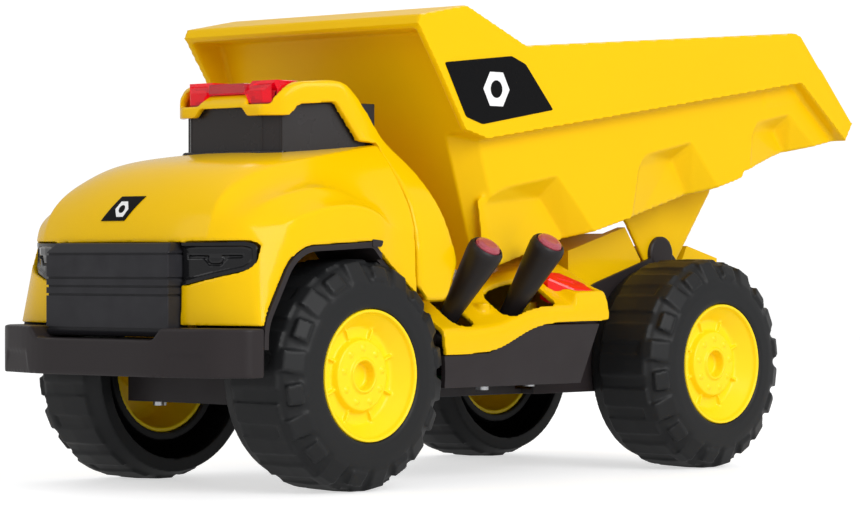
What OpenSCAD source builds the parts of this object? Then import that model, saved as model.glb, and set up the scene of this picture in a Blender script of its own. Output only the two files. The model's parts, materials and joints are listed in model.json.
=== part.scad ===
// Toy dump truck with a tipping bed, two joystick levers and a sound button.
// X runs across the truck (its left side is +X), the nose points to -Y and +Z is up.
// The origin is on the floor, under the middle of the truck.

/* [Wheels] */
// Outer radius of the tyres
tyre_r = 50; // [48:0.5:51]
// Width of a tyre
tyre_w = 43.5; // [40:0.5:44]
// Radius of the rim's outer lip
rim_r = 28.6; // [26:0.2:29]
// Distance from the middle to the outer face of a front tyre
front_face_x = 83; // [82:0.5:84]
// Distance from the middle to the outer face of a rear tyre
rear_face_x = 90; // [89.5:0.5:91]
// Place of the front axle along the truck
front_axle_y = -137; // [-139:0.5:-136]
// Place of the rear axle along the truck
rear_axle_y = 97; // [96:0.5:98]
// Radius of both steel axles
axle_r = 3; // [2.5:0.1:3.2]

/* [Body] */
// Wall thickness of the moulded shells
wall = 2.5; // [2:0.1:3]
// Half width of the front cab over the wheel arches
cab_half = 77; // [76:0.5:78]
// Half width of the deck and its skirts
deck_half = 77; // [76:0.5:78]
// Height of the chassis floor above the ground
floor_z = 37; // [36:0.5:38]

/* [Dump bed] */
// Half width of the raised band along the rim of the bed
band_half = 75; // [74:0.5:76]
// Half width of the lower body of the bed
bed_half = 68; // [67:0.5:69]
// Height of the bed's hinge pin
hinge_z = 102.5; // [102:0.5:103]
// Place of the bed's hinge pin along the truck
hinge_y = 105; // [104:0.5:106]
// Radius of the hinge pin
pin_r = 3; // [2.5:0.1:3]

/* [Controls] */
// Lean of the levers away from the upright, towards the side
lever_lean = 37; // [35:0.5:38]
// Length of the front lever above its pivot
lever_len = 52.5; // [50:0.5:54]
// Radius of a lever at its thick top
lever_top_r = 8.2; // [7.5:0.1:8.4]
// Radius of a lever where it passes its slot
lever_neck_r = 4.6; // [4:0.1:4.8]
// Travel of the sound button
button_travel = 2; // [1.5:0.1:2]

/* [Hidden] */
$fn = 64;

run_gap = 0.05;      // radial clearance of a shaft turning in its bore
part_gap = 0.3;      // gap between pieces that only sit side by side
axle_z = tyre_r;
big = 400;

yellow = [0.96, 0.78, 0.02];
dark = [0.2, 0.19, 0.2];
black = [0.06, 0.06, 0.07];
steel = [0.7, 0.71, 0.73];
rim_yellow = [1, 0.72, 0.08];
red = [0.85, 0.05, 0.08];
board_green = [0.1, 0.35, 0.2];

// ---- helpers -------------------------------------------------------------------------------

// Side outline given as [y, z] points, extruded from x0 to x1
module side_slab(points, x0, x1) {
  translate([x0, 0, 0]) rotate([90, 0, 90]) linear_extrude(x1 - x0) polygon(points);
}

// Front outline given as [x, z] points, extruded from y0 to y1
module front_slab(points, y0, y1) {
  translate([0, y1, 0]) rotate([90, 0, 0]) linear_extrude(y1 - y0) polygon(points);
}

// Plan outline given as [x, y] points, extruded from z0 to z1
module plan_slab(points, z0, z1) {
  translate([0, 0, z0]) linear_extrude(z1 - z0) polygon(points);
}

// Box between two corners
module block(low, high) {
  translate(low) cube(high - low);
}

// Cylinder along X between x0 and x1, at [y, z]
module rod_x(r, x0, x1, y, z) {
  translate([x0, y, z]) rotate([0, 90, 0]) cylinder(r = r, h = x1 - x0);
}

// Upright cylinder
module rod_z(r, z0, z1, x, y) {
  translate([x, y, z0]) cylinder(r = r, h = z1 - z0);
}

// An outline given for x >= 0, closed by its mirror image
function both_sides(half) = concat(half, [for (i = [len(half) - 1:-1:0]) [-half[i][0], half[i][1]]]);

// ---- chassis -------------------------------------------------------------------------------

tray_half = 38;              // between the front tyres
rear_half = 46;              // between the rear tyres
tray_front = -168;
tray_rear = 150;
tray_top = 62;
arch_gap = 4;                // gap between a tyre and the skirt around it
boss_r = 3.6;
screw_r = 1.5;
deck_spots = [[64, -46], [50, 2]];     // screw bosses under the deck
skirt_z = 43;                          // lowest edge of the skirts
screw_spots = concat([for (p = deck_spots) [p[0], p[1], skirt_z]], [[26, 136, floor_z], [26, -160, floor_z]]);
door_low = [-28, -61];
door_high = [28, -3];
switch_y = 34;
speaker_y = -106;
speaker_r = 16;

function skirt_side(w) = [
  [-90 + w, skirt_z + w], [9 - w, skirt_z + w], [22.5 - w, 70], [22.5 - w, 90 * sign(w) + 70 * (1 - sign(w))],
  [-90 + w, 90 * sign(w) + 70 * (1 - sign(w))]
];

function rear_side(w) = [
  [10, floor_z + w], [tray_rear - w, floor_z + w], [tray_rear - w, 84],
  [124, 93], [113, hinge_z], [111, hinge_z + 6], [105, hinge_z + 8.5], [99, hinge_z + 6], [96.5, hinge_z - 2],
  [90, 98.5], [55, 88.5], [24, 74], [10, 60]
];

module chassis_tray() color(dark) difference() {
  union() {
    block([-tray_half, tray_front, floor_z], [tray_half, 30, tray_top]);
    intersection() {
      side_slab(skirt_side(0), -deck_half + 1.5, deck_half - 1.5);
      side_slab([[-90, 40], [30, 40], [30, 70.2], [-19, 70.2], [-54, 58], [-90, 57]], -big, big);
    }
    side_slab(rear_side(0), -rear_half, rear_half);
  }
  // hollow inside, open at the top
  block([-tray_half + wall, tray_front + wall, floor_z + wall], [tray_half - wall, 40, big]);
  side_slab(skirt_side(wall), -deck_half + 1.5 + wall, deck_half - 1.5 - wall);
  block([-rear_half + 1.7, 6, floor_z + wall], [rear_half - 1.7, tray_rear - wall, big]);
  // wheel clearance at the front of the skirts
  for (s = [-1, 1]) rod_x(tyre_r + arch_gap, s > 0 ? tray_half : -big, s > 0 ? big : -tray_half,
    front_axle_y, axle_z);
  // bores for the axles and the hinge pin
  rod_x(axle_r + run_gap, -60, 60, front_axle_y, axle_z);
  rod_x(axle_r + run_gap, -60, 60, rear_axle_y, axle_z);
  rod_x(pin_r + run_gap, -60, 60, hinge_y, hinge_z);
  // battery hatch, switch slot, speaker holes and screw holes in the floor
  block([door_low[0] - part_gap, door_low[1] - part_gap, 0], [door_high[0] + part_gap, door_high[1] + part_gap, 60]);
  block([-3.5, switch_y - 7, 0], [3.5, switch_y + 7, 50]);
  for (i = [-2:2]) for (j = [-2:2])
    if (i * i + j * j < 7) rod_z(1.6, 0, 50, i * 6, speaker_y + j * 6);
  for (spot = screw_spots) for (s = [-1, 1]) rod_z(screw_r + 0.15, 0, 60, s * spot[0], spot[1]);
}

module screw(head_z, length) {
  rod_z(3, head_z - 2, head_z, 0, 0);
  rod_z(screw_r, head_z - 0.01, head_z + length, 0, 0);
}

module chassis_screws() color(steel) {
  for (spot = screw_spots) for (s = [-1, 1])
    translate([s * spot[0], spot[1], 0]) screw(spot[2], 10);
}

module battery_door() color(dark) difference() {
  union() {
    block([door_low[0], door_low[1], floor_z], [door_high[0], door_high[1], floor_z + wall]);
    for (i = [-3:3]) block([i * 5 - 0.8, -9, floor_z - 0.6], [i * 5 + 0.8, -5, floor_z + 0.1]);
  }
  rod_z(screw_r + 0.15, 0, 60, 0, -55);
}

module door_screw() color(steel) translate([0, -55, 0]) screw(floor_z, 8);

// ---- front of the truck ----------------------------------------------------------------------

bumper_plan = both_sides([[60, -190], [60, -195], [78, -195], [78, -203], [66, -216], [40, -223]]);
bumper_top = 71;
grille_half = 39;

module front_bumper() color(dark) {
  difference() {
    plan_slab(bumper_plan, 50, bumper_top);
    // dip in the middle, under the grille
    block([-grille_half - 1, -230, 66], [grille_half + 1, -180, 80]);
    // hollow behind
    plan_slab(both_sides([[57, -180], [57, -198], [72, -198], [73, -203], [63, -213], [38, -219.5]]), 0, 66 - wall);
  }
  for (s = [-1, 1]) block([s * 24 - 5, -221, 52], [s * 24 + 5, tray_front - 0.1, 60]);
}

module grille() color(black) difference() {
  union() {
    side_slab([[-203, 67], [-213, 67], [-215, 70], [-215, 101], [-212, 106.5], [-203, 106.5]], -grille_half, grille_half);
  }
  for (z = [70, 84.5, 88, 91.5, 101.5]) block([-big, -230, z - 0.5], [big, -213.6, z + 0.5]);
  block([-grille_half + wall, -212, 69.5], [grille_half - wall, -200, 104]);
}

// Outlines of the cab, moved inwards by w
function cab_side(w) = [
  [-209 + w, 72 - w * 9], [-209 + w, 109 - w / 2], [-206.5 + w, 121 - w / 2], [-199 + w, 132 - w],
  [-189 + w / 2, 140.5 - w], [-170, 143.8 - w], [-148, 146.3 - w], [-101.5, 151 - w], [-101.5, 72 - w * 9]
];
function cab_plan(w) = both_sides([
  [cab_half - w, -60], [cab_half - w, -178], [74 - w, -189 + w / 2], [66 - w / 2, -199 + w], [50, -206 + w], [40, -209 + w]
]);
function cab_front(w) = both_sides([
  [cab_half - w, 60], [cab_half - w, 108], [74.5 - w, 118 - w / 2], [70 - w, 126 - w / 2], [62 - w, 132 - w],
  [53 - w / 2, 140 - w], [50, 152 - w]
]);
arch = [[-192, 60], [-192, 72], [-171, 105], [-122, 108], [-94, 82], [-86, 60]];
arch_inner = [[-189.6, 60], [-189.6, 71.6], [-169.9, 102.8], [-122.8, 105.7], [-96.5, 81.2], [-89, 60]];

module cab_solid(w) intersection() {
  side_slab(cab_side(w), -big, big);
  plan_slab(cab_plan(w), -50, 300);
  front_slab(cab_front(w), -300, 100);
}

module headlight_outline(side, grow, y0, y1) {
  front_slab([for (p = [[39.6 - grow, 107.5 + grow], [73 + grow, 107.5 + grow], [74 + grow, 98], [68, 94 - grow],
    [39.6 - grow, 88.5 - grow]]) [side * p[0], p[1]]], y0, y1);
}

module cab_front_shell() color(yellow) difference() {
  union() {
    difference() {
      cab_solid(0);
      cab_solid(wall);
    }
    for (s = [-1, 1]) rod_z(boss_r, 39.8, 142.5, s * 26, -160);
  }
  // wheel arches, headlight pockets and the grille opening
  for (s = [-1, 1]) side_slab(arch, s > 0 ? 39 : -big, s > 0 ? big : -39);
  for (s = [-1, 1]) headlight_outline(s, 0.2, -230, -180);
  block([-grille_half - part_gap, -230, 50], [grille_half + part_gap, -200, 107]);
  // cab hollow behind the windshield
  plan_slab(both_sides([[46.4, -96], [45.4, -108.5], [32.6, -142.8], [24.2, -147.4]]), 130, 200);
  for (s = [-1, 1]) rod_z(screw_r, 30, 52, s * 26, -160);
}

module headlight(side) color(black) intersection() {
  headlight_outline(side, 0, -230, -180);
  difference() {
    plan_slab(cab_plan(0.3), 0, 200);
    plan_slab(cab_plan(5), -10, 210);
  }
}

module headlight_left() headlight(1);
module headlight_right() headlight(-1);

module fender_liner(side) color(dark) difference() {
  side_slab(arch_inner, side > 0 ? 39.5 : -cab_half + 1.5, side > 0 ? cab_half - 1.5 : -39.5);
  side_slab([[-187.4, 50], [-187.4, 71], [-168.6, 100.9], [-123.6, 103.6], [-98.8, 80.4], [-92, 50]], -big, big);
  block([-big, -260, 0], [big, 0, 62]);
  rod_x(tyre_r + 2, -big, big, front_axle_y, axle_z);
}

module fender_liner_left() fender_liner(1);
module fender_liner_right() fender_liner(-1);

window_top = 168.6;
window_plan = both_sides([[46, -97], [45, -108.5], [32.2, -142.5], [24, -147]]);

module window_insert() color(black) difference() {
  plan_slab(window_plan, 132, window_top);
  plan_slab(both_sides([[44, -90], [43, -109], [30.6, -140.6], [23.4, -144.6]]), 120, 180);
}

function roof_side(w) = [
  [-151 + w, 161.5 - w * 5], [-151 + w, 167], [-146 + w / 2, 170 - w / 2], [-136, 178 - w], [-109, 176.5 - w], [-101 - w, 168],
  [-90 - w, 151.5], [-86 - w, 143], [-80.5 - w, 118], [-75 - w, 98], [-82, 82 - w * 2],
  [-94, 82 - w * 2], [-101.3, 89], [-101.3, 151.2], [-104, 151.2], [-121.5, 168 - w * 5],
  [-143, 166.5 - w * 5], [-146.5, 161.5 - w * 5]
];

module cab_rear_shell() color(yellow) difference() {
  union() {
    // roof and rear pillars
    intersection() {
      side_slab(roof_side(0), -big, big);
      plan_slab(both_sides([[56, -60], [52, -92], [48, -108], [46, -126], [36, -146], [26, -151]]), 151.3, 300);
    }
    // rear sides of the cab below the windows
    intersection() {
      side_slab(roof_side(0), -big, big);
      front_slab(cab_front(0), -300, 100);
      plan_slab(both_sides([[cab_half, -60], [cab_half, -101.3]]), 70, 151.3);
    }
  }
  // hollow of the cab
  intersection() {
    side_slab([[-150, 100], [-147.5, 167], [-136, 174.5], [-109, 173.5], [-104, 167.5], [-93, 150.5], [-89, 142],
      [-83.5, 118], [-78.4, 98.6], [-84.5, 84.5], [-93, 70], [-102, 70]], -big, big);
    front_slab(cab_front(wall), -300, 100);
    plan_slab(both_sides([[80, -60], [80, -100], [50, -101.2], [46.2, -108], [44.2, -126], [33, -145], [25, -149]]), -50, 300);
  }
  // clearance around the window moulding
  plan_slab(both_sides([[46.3, -96.5], [45.3, -108.4], [32.5, -142.8], [24.1, -147.3]]), 100, 170.2);
  // window opening in the sides
  side_slab([[-160, 151], [-160, 161.5], [-146.5, 161.5], [-143, 166.5], [-121.5, 168], [-104, 151]], -big, big);
  // seat of the light bar
  front_slab(lens_outline(0.3), -142.5, -127.5);
}

function lens_outline(g) = both_sides([[0, 173.5 - g], [15, 173.5 - g], [19, 169 - g], [31, 169 - g], [36 + g, 175], [34 + g, 181]]);

module light_bar_lens() color(red) difference() {
  front_slab(lens_outline(0), -142, -128);
  front_slab(both_sides([[0, 170], [16, 170], [20, 160], [30, 160], [33, 175], [32, 178.5], [16, 178.5], [14, 177.5]]), -140, -130);
  block([-13, -150, 179.5], [13, -120, 190]);
}

module light_bar_board() color(board_green) {
  difference() {
    block([-28, -138, 166.4], [28, -132, 167.6]);
    rod_z(1, 160, 170, 0, -135);
  }
  for (s = [-1, 1]) rod_z(2, 167.6, 173, s * 25, -135);
}

module hood_badge() color(black)
  translate([0, -207.6, 121.4]) rotate([-17, 0, 0])
  front_slab([[-11.5, -5.4], [3.4, -5.4], [11.5, 5.4], [-3.4, 5.4]], -1.4, -0.2);

// ---- deck and rear frame ---------------------------------------------------------------------

deck_tilt = 6;
deck_front = -83.2;
function deck_side(w) = [
  [-95, 57.4 - w * 9], [-54, 58.4 - w * 9], [-19, 70.7 - w * 9], [25 - w, 71.6 - w * 9], [27 - w, 76], [24 - w, 84],
  [17 - w, 92], [35, 101.8 - w], [-72, 87 - w], [-95, 84 - w]
];
function deck_front_outline(w) = both_sides([
  [deck_half - w, -40], [deck_half - w, 0.5 - w / 2], [75 - w, 3.5 - w], [66 - w / 2, 8.8 - w], [57 - w / 2, 14 - w],
  [50 - w, 19 - w], [42, 22 - w], [40, 50]
]);

// The deck's cross-section runs back and slightly up
module deck_solid(w) intersection() {
  side_slab(deck_side(w), -90, 90);
  translate([0, deck_front, 69]) rotate([deck_tilt, 0, 0]) front_slab(deck_front_outline(w), -40, 160);
}

trunnion_r = 1.5;
rear_lever_extra = 2.5;   // the rear lever is longer than the front one
lever_front_pivot = [54.6, -66, 64.6];
lever_rear_pivot = [54.6, -26, 64.6];
button_lean = 30;
button_spot = [63.5, 13, 86];

module leaning(spot, lean) {
  translate(spot) rotate([0, lean, 0]) children();
}

button_outline = [[-8, -9.5], [-2.4, -10.5], [6.6, -2], [8.5, 9.5], [2.8, 10.5], [-6.6, 2]];
button_play = 1.05;       // scale of the seat against the button

module button_prism(scale_by, z0, z1)
  translate([button_spot[0], button_spot[1], z0]) linear_extrude(z1 - z0) polygon(button_outline * scale_by);

module side_deck() color(yellow) difference() {
  deck_solid(0);
  difference() {
    deck_solid(wall);
    for (s = [-1, 1]) for (p = deck_spots) rod_z(boss_r, skirt_z + wall + part_gap, 120, s * p[0], p[1]);
  }
  // room for the wheels and the cab
  for (s = [-1, 1]) rod_x(tyre_r + arch_gap, s > 0 ? 30 : -100, s > 0 ? 100 : -30, front_axle_y, axle_z);
  block([-100, -200, 81.5], [100, -72.2, 200]);
  block([-100, -200, 0], [100, -84.5, 200]);
  // screw holes
  for (s = [-1, 1]) for (p = deck_spots) rod_z(screw_r, 40, 56, s * p[0], p[1]);
  // clearance around the side plates of the chassis
  for (s = [-1, 1]) block([s * 45.2 - 1.5, 5, 55], [s * 45.2 + 1.5, 45, 89]);
  // slots of the levers and the seat of the button
  block([54, -72.6, 68], [73.4, -59.4, 100]);
  block([56, -39.8, 68], [74.2, -4.4, 100]);
  button_prism(button_play, 70, 100);
}

module rear_frame() color(yellow) difference() {
  union() {
    // ramp under the front of the bed
    side_slab([[37.2, 62], [37.2, 104], [75, 113.6], [89, 99], [84, 62]], -43.8, 43.8);
    // body between the rear wheels
    side_slab([[80, 55], [80, 96], [126, 96], [132, 106.6], [156, 100.5], [156, 55]], -40, 40);
    for (s = [-1, 1]) rod_x(7.5, s > 0 ? 37.5 : -40, s > 0 ? 40 : -37.5, hinge_y, hinge_z);
    for (s = [-1, 1]) rod_z(boss_r, 39.8, 103, s * 26, 136);
  }
  difference() {
    union() {
      side_slab([[39.7, 60], [39.7, 102], [74, 110.8], [84, 99.7], [84, 60]], -41.3, 41.3);
      side_slab([[70, 50], [70, 140], [127, 140], [127, 96], [133.2, 103.5], [153.5, 98.2], [153.5, 50]], -37.5, 37.5);
    }
    for (s = [-1, 1]) rod_z(boss_r, 30, 110, s * 26, 136);
  }
  // open to the rear of the ramp, clear of the bed's brackets
  side_slab([[84, 50], [84, 140], [100, 140], [100, 50]], 40.2, 50);
  side_slab([[84, 50], [84, 140], [100, 140], [100, 50]], -50, -40.2);
  rod_x(pin_r + run_gap, -60, 60, hinge_y, hinge_z);
  for (s = [-1, 1]) rod_z(screw_r, 30, 52, s * 26, 136);
  // notch around the chassis walls
  for (s = [-1, 1]) block([s * 42 - 2.4, 148, 30], [s * 42 + 2.4, 151, 84.5]);
  block([-41, 147.2, 30], [41, 150.3, 84.5]);
}

// ---- power, sound and lights -----------------------------------------------------------------

cell_r = 7;
cell_len = 49;
cell_y = [-48, -32, -16];
cell_z = 49.5;

module battery_box() color(dark) difference() {
  block([-29, -60, 41], [29, -6, 60]);
  block([-27.5, -58.5, 40], [27.5, -7.5, 58.5]);
  rod_z(screw_r, 30, 50, 0, -55);
}

module batteries() color("silver") {
  for (y = cell_y) {
    rod_x(cell_r, -cell_len / 2, cell_len / 2, y, cell_z);
    rod_x(2.6, cell_len / 2, cell_len / 2 + 1, y, cell_z);
  }
}

module battery_contacts() color(steel) {
  for (y = cell_y) {
    block([cell_len / 2 + 1.1, y - 5, cell_z - 5], [cell_len / 2 + 1.6, y + 5, cell_z + 5]);
    block([-cell_len / 2 - 1.6, y - 5, cell_z - 5], [-cell_len / 2 - 1.1, y + 5, cell_z + 5]);
  }
}

module circuit_board() color(board_green) difference() {
  union() {
    block([-30, -60, 63], [30, 4, 64.6]);
    block([-12, -45, 64.6], [4, -33, 66.8]);
    for (x = [12, 20]) rod_z(3, 64.6, 71, x, -40);
  }
  for (s = [-1, 1]) rod_z(1.6, 60, 70, s * 26, -1);
}

module speaker() color(dark) difference() {
  union() {
    rod_z(speaker_r, floor_z + wall + 0.1, 43, 0, speaker_y);
    rod_z(9, 43, 50, 0, speaker_y);
  }
  rod_z(speaker_r - 2, 38, 41, 0, speaker_y);
}

module lever_switch_board() color(board_green) {
  block([42, -76, 46.4], [60, -6, 48]);
  for (y = [-48, -40, -10]) block([50, y - 3, 48], [58, y + 3, 52]);
}

// Small board under the sound button, held on the rear boss of the deck
module button_switch_board() color(board_green) difference() {
  union() {
    block([46.5, -4, 66], [68, 17, 67.6]);
    block([button_spot[0] - 3, button_spot[1] - 3, 67.6], [button_spot[0] + 3, button_spot[1] + 3, 72 - button_travel - part_gap]);
  }
  rod_z(boss_r + 0.2, 60, 70, deck_spots[1][0], deck_spots[1][1]);
}

// Upright plates that carry the trunnions of both levers
module lever_cradles() color(dark) difference() {
  union() {
    for (s = [-1, 1]) block([49, lever_front_pivot[1] + s * 7.2 - 0.8, 48.1], [60, lever_front_pivot[1] + s * 7.2 + 0.8, 68]);
    block([49, lever_front_pivot[1] - 8, 48.1], [60, lever_front_pivot[1] + 8, 50]);
    block([46.4, lever_rear_pivot[1] - 5, 48.1], [48, lever_rear_pivot[1] + 5, 68]);
    block([62.6, lever_rear_pivot[1] - 5, 48.1], [64.2, lever_rear_pivot[1] + 5, 67.2]);
    block([46.4, lever_rear_pivot[1] - 5, 48.1], [64.2, lever_rear_pivot[1] + 5, 50]);
  }
  translate(lever_front_pivot) rotate([90, 0, 0]) cylinder(r = trunnion_r + run_gap, h = 30, center = true);
  rod_x(trunnion_r + run_gap, 40, 70, lever_rear_pivot[1], lever_rear_pivot[2]);
}

module power_switch() color(dark) {
  block([-2.8, switch_y - 3, floor_z - 1.5], [2.8, switch_y + 3, floor_z + 5]);
  block([-5, switch_y - 7, floor_z + wall + 0.2], [5, switch_y + 7, floor_z + 4.4]);
}

// ---- gears -----------------------------------------------------------------------------------

gear_teeth = 18;
pinion_teeth = 10;
sector_teeth = 48;        // of a full turn
mesh_gap = 0.15;          // play added between a gear and its pinion
tooth_top = 0.8;
tooth_root = 1.15;
gear_half = 3;
drive_dir = 180;          // direction from the axle to its pinion
lift_dir = 240;           // direction from the hinge to its pinion
sector_from = 218;
sector_to = 308;
drive_dist = (gear_teeth + pinion_teeth) / 2 + mesh_gap;
lift_dist = (sector_teeth + pinion_teeth) / 2 + mesh_gap;
drive_pinion_at = [rear_axle_y + drive_dist * cos(drive_dir), axle_z + drive_dist * sin(drive_dir)];
lift_pinion_at = [hinge_y + lift_dist * cos(lift_dir), hinge_z + lift_dist * sin(lift_dir)];

// One tooth of module 1 with its middle at angle a, as an outline in the plane of the gear
module tooth(teeth, a) {
  pitch_r = teeth / 2;
  rotate(a) polygon([[pitch_r - tooth_root - 0.3, -1.05], [pitch_r - tooth_root, -1.05], [pitch_r, -0.68],
    [pitch_r + tooth_top, -0.3], [pitch_r + tooth_top, 0.3], [pitch_r, 0.68], [pitch_r - tooth_root, 1.05],
    [pitch_r - tooth_root - 0.3, 1.05]]);
}

// Gear outline with teeth between two angles, one of them centred at angle first
module gear_outline(teeth, first, from, to) {
  step = 360 / teeth;
  for (i = [ceil((from - first) / step):floor((to - first) / step)]) tooth(teeth, first + i * step);
}

// Lays a plane outline across the truck: its x runs to the rear and its y runs up
module across(x0, x1, y, z) {
  translate([x0, y, z]) rotate([90, 0, 90]) linear_extrude(x1 - x0) children();
}

module axle_gear() color("ivory") difference() {
  union() {
    across(-gear_half, gear_half, rear_axle_y, axle_z) gear_outline(gear_teeth, drive_dir, 0, 359);
    rod_x(gear_teeth / 2 - tooth_root, -gear_half, gear_half, rear_axle_y, axle_z);
    rod_x(5.5, -6, 6, rear_axle_y, axle_z);
  }
  rod_x(axle_r, -20, 20, rear_axle_y, axle_z);
}

module pinion(spot, facing) {
  across(-gear_half - 0.5, gear_half + 0.5, spot[0], spot[1])
    gear_outline(pinion_teeth, facing + 180 / pinion_teeth, 0, 359);
  rod_x(pinion_teeth / 2 - tooth_root, -gear_half - 0.5, gear_half + 0.5, spot[0], spot[1]);
  rod_x(1.5, -9.5, 13, spot[0], spot[1]);
}

module drive_pinion() color("ivory") pinion(drive_pinion_at, drive_dir + 180);
module lift_pinion() color("ivory") pinion(lift_pinion_at, lift_dir + 180);

module lift_sector() color("ivory") difference() {
  union() {
    across(-gear_half, gear_half, hinge_y, hinge_z) {
      gear_outline(sector_teeth, lift_dir, sector_from, sector_to);
      intersection() {
        difference() {
          circle(r = sector_teeth / 2 - tooth_root, $fn = 96);
          circle(r = sector_teeth / 2 - 6);
        }
        polygon(concat([[0, 0]], [for (a = [sector_from:10:sector_to]) 40 * [cos(a), sin(a)]]));
      }
      for (a = [sector_from + 12, (sector_from + sector_to) / 2, sector_to - 12]) rotate(a)
        translate([0, -2]) square([sector_teeth / 2 - 5, 4]);
    }
    rod_x(6.5, -8, 8, hinge_y, hinge_z);
  }
  rod_x(pin_r, -20, 20, hinge_y, hinge_z);
}

module drive_gearbox() color("gainsboro") difference() {
  block([-10, 66, 40.2], [10, 112, 66]);
  block([-8, 68, 30], [8, 110, 64]);
  rod_x(axle_r + run_gap, -20, 20, rear_axle_y, axle_z);
  rod_x(1.5 + run_gap, -20, 20, drive_pinion_at[0], drive_pinion_at[1]);
  block([-8, 90, 50], [8, 104, 70]);
}

module motor(spot) {
  difference() {
    rod_x(9.5, 13.5, 36, spot[0], spot[1]);
    block([10, spot[0] - 20, spot[1] + 7.5], [40, spot[0] + 20, spot[1] + 20]);
    block([10, spot[0] - 20, spot[1] - 20], [40, spot[0] + 20, spot[1] - 7.5]);
  }
  rod_x(3, 36, 37, spot[0], spot[1]);
}

module drive_motor() color(steel) motor(drive_pinion_at);
module lift_motor() color(steel) motor(lift_pinion_at);

module lift_gearbox() color("gainsboro") difference() {
  block([-10, 76, 67.5], [10, 100, 86]);
  block([-8, 70, 69.5], [8, 110, 90]);
  rod_x(1.5 + run_gap, -20, 20, lift_pinion_at[0], lift_pinion_at[1]);
}

// ---- axles, rims and tyres -------------------------------------------------------------------

module axle_rod(y, half) color(steel) rod_x(axle_r, -half, half, y, axle_z);
module front_axle() axle_rod(front_axle_y, front_face_x - 14);
module rear_axle() axle_rod(rear_axle_y, rear_face_x - 14);

// A wheel stands at x = face with its outside towards +X; its own axis is turned onto X
module wheel_place(face, y, side) {
  translate([side * face, y, axle_z]) rotate([0, side * -90, 0]) children();
}

tyre_outline = [
  [rim_r, 0], [rim_r + 1, 0], [rim_r + 15.6, 0], [tyre_r, 5.75], [tyre_r, tyre_w - 5.75],
  [tyre_r - 4, tyre_w], [tyre_r - 10, tyre_w], [tyre_r - 10, tyre_w - 3], [tyre_r - 5.5, tyre_w - 3],
  [tyre_r - 3.5, tyre_w - 7.5], [tyre_r - 3.5, 7.5], [tyre_r - 7, 3.2], [rim_r + 3.4, 3.2],
  [rim_r + 3.4, tyre_w - 7.5], [rim_r, tyre_w - 7.5]
];

module tyre() color(dark) rotate_extrude($fn = 96) polygon(tyre_outline);

module rim() color(rim_yellow) difference() {
  union() {
    rotate_extrude() polygon([[0, 9], [9, 9], [9, 11.5], [21, 13], [24, 6], [25.5, 2.5], [rim_r - 0.1, 2.5],
      [rim_r - 0.1, tyre_w - 9], [rim_r - 2.6, tyre_w - 9], [rim_r - 2.6, 16], [8, 16], [8, tyre_w - 3], [0, tyre_w - 3]]);
    for (i = [0:9]) rotate(i * 36) translate([15.5, 0, 11]) cylinder(r = 1.6, h = 3);
  }
  translate([0, 0, 14]) cylinder(r = axle_r, h = 60);
}

module front_rim_left() wheel_place(front_face_x, front_axle_y, 1) rim();
module front_rim_right() wheel_place(front_face_x, front_axle_y, -1) rim();
module front_tyre_left() wheel_place(front_face_x, front_axle_y, 1) tyre();
module front_tyre_right() wheel_place(front_face_x, front_axle_y, -1) tyre();
module rear_rim_left() wheel_place(rear_face_x, rear_axle_y, 1) rim();
module rear_rim_right() wheel_place(rear_face_x, rear_axle_y, -1) rim();
module rear_tyre_left() wheel_place(rear_face_x, rear_axle_y, 1) tyre();
module rear_tyre_right() wheel_place(rear_face_x, rear_axle_y, -1) tyre();

// ---- dump bed --------------------------------------------------------------------------------

band = [
  [-100, 203], [-98.5, 207], [-68, 212.7], [-28, 196.6], [174, 212.4], [179, 211.4], [223, 169],
  [217, 159.8], [180, 187.5], [53, 169.2], [-54, 153.5], [-69, 157.1], [-86, 183]
];
bed_foot = [-44, 95];
wall_head = [-80, 203];
bed_lean = atan2(bed_foot[0] - wall_head[0], wall_head[1] - bed_foot[1]);
bed_under = [
  [52, 118.5], [116.5, 133.3], [140, 139.6], [142.5, 143], [172, 151], [202, 157.2], [216, 159.8]
];
bed_wall = 3;

// Body below the band, its front wall leaning, moved inwards by w
module bed_lower(w) intersection() {
  side_slab(concat([[-95, 260 * sign(w) + 200 * (1 - sign(w))], [-60, 95 + w]], [bed_foot + [0, w]],
    [for (p = bed_under) p + [0, w]], [[216 + 30 * w, 160 + 2.5 * w], [216 + 30 * w, 260 * sign(w) + 180 * (1 - sign(w))]]),
    -big, big);
  translate([0, bed_foot[0], bed_foot[1]]) rotate([bed_lean, 0, 0])
    plan_slab(both_sides([[bed_half - w, 400], [bed_half - w, 10], [bed_half - 10 - w / 2, w]]), -60, 400);
}

module bed_bracket(x0) difference() {
  side_slab([[70, 124.4], [150, 146.4], [146, 133], [126.5, 108], [116, 94.8], [105, 90.5], [97, 94], [94.4, 99],
    [80.6, 118]], x0, x0 + 2.6);
  rod_x(pin_r, -60, 60, hinge_y, hinge_z);
}

module bed_shell() color(yellow) {
  difference() {
    union() {
      side_slab(band, -band_half, band_half);
      intersection() {
        bed_lower(0);
        side_slab([[-90, 40], [-90, 190], [-40, 180], [53, 172], [180, 190], [204, 172], [216, 163], [230, 140]], -big, big);
      }
    }
    // space under the canopy, in front of the front wall
    side_slab([[-130, 201], [-79.33, 201], [-62.33, 150], [-130, 150]], -band_half + 3.5, band_half - 3.5);
    // load space, narrow below the band and wide inside it
    intersection() {
      bed_lower(bed_wall);
      side_slab([[-90, 60], [-90, 205.5], [-64, 205.5], [-64, 300], [400, 300], [400, 60]], -big, big);
    }
    side_slab([[-64, 159], [-64, 300], [240, 300], [240, 194], [180, 191], [53, 172.6], [-54, 157]],
      -band_half + 3.5, band_half - 3.5);
  }
  bed_bracket(41.2);
  bed_bracket(-43.8);
}

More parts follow.
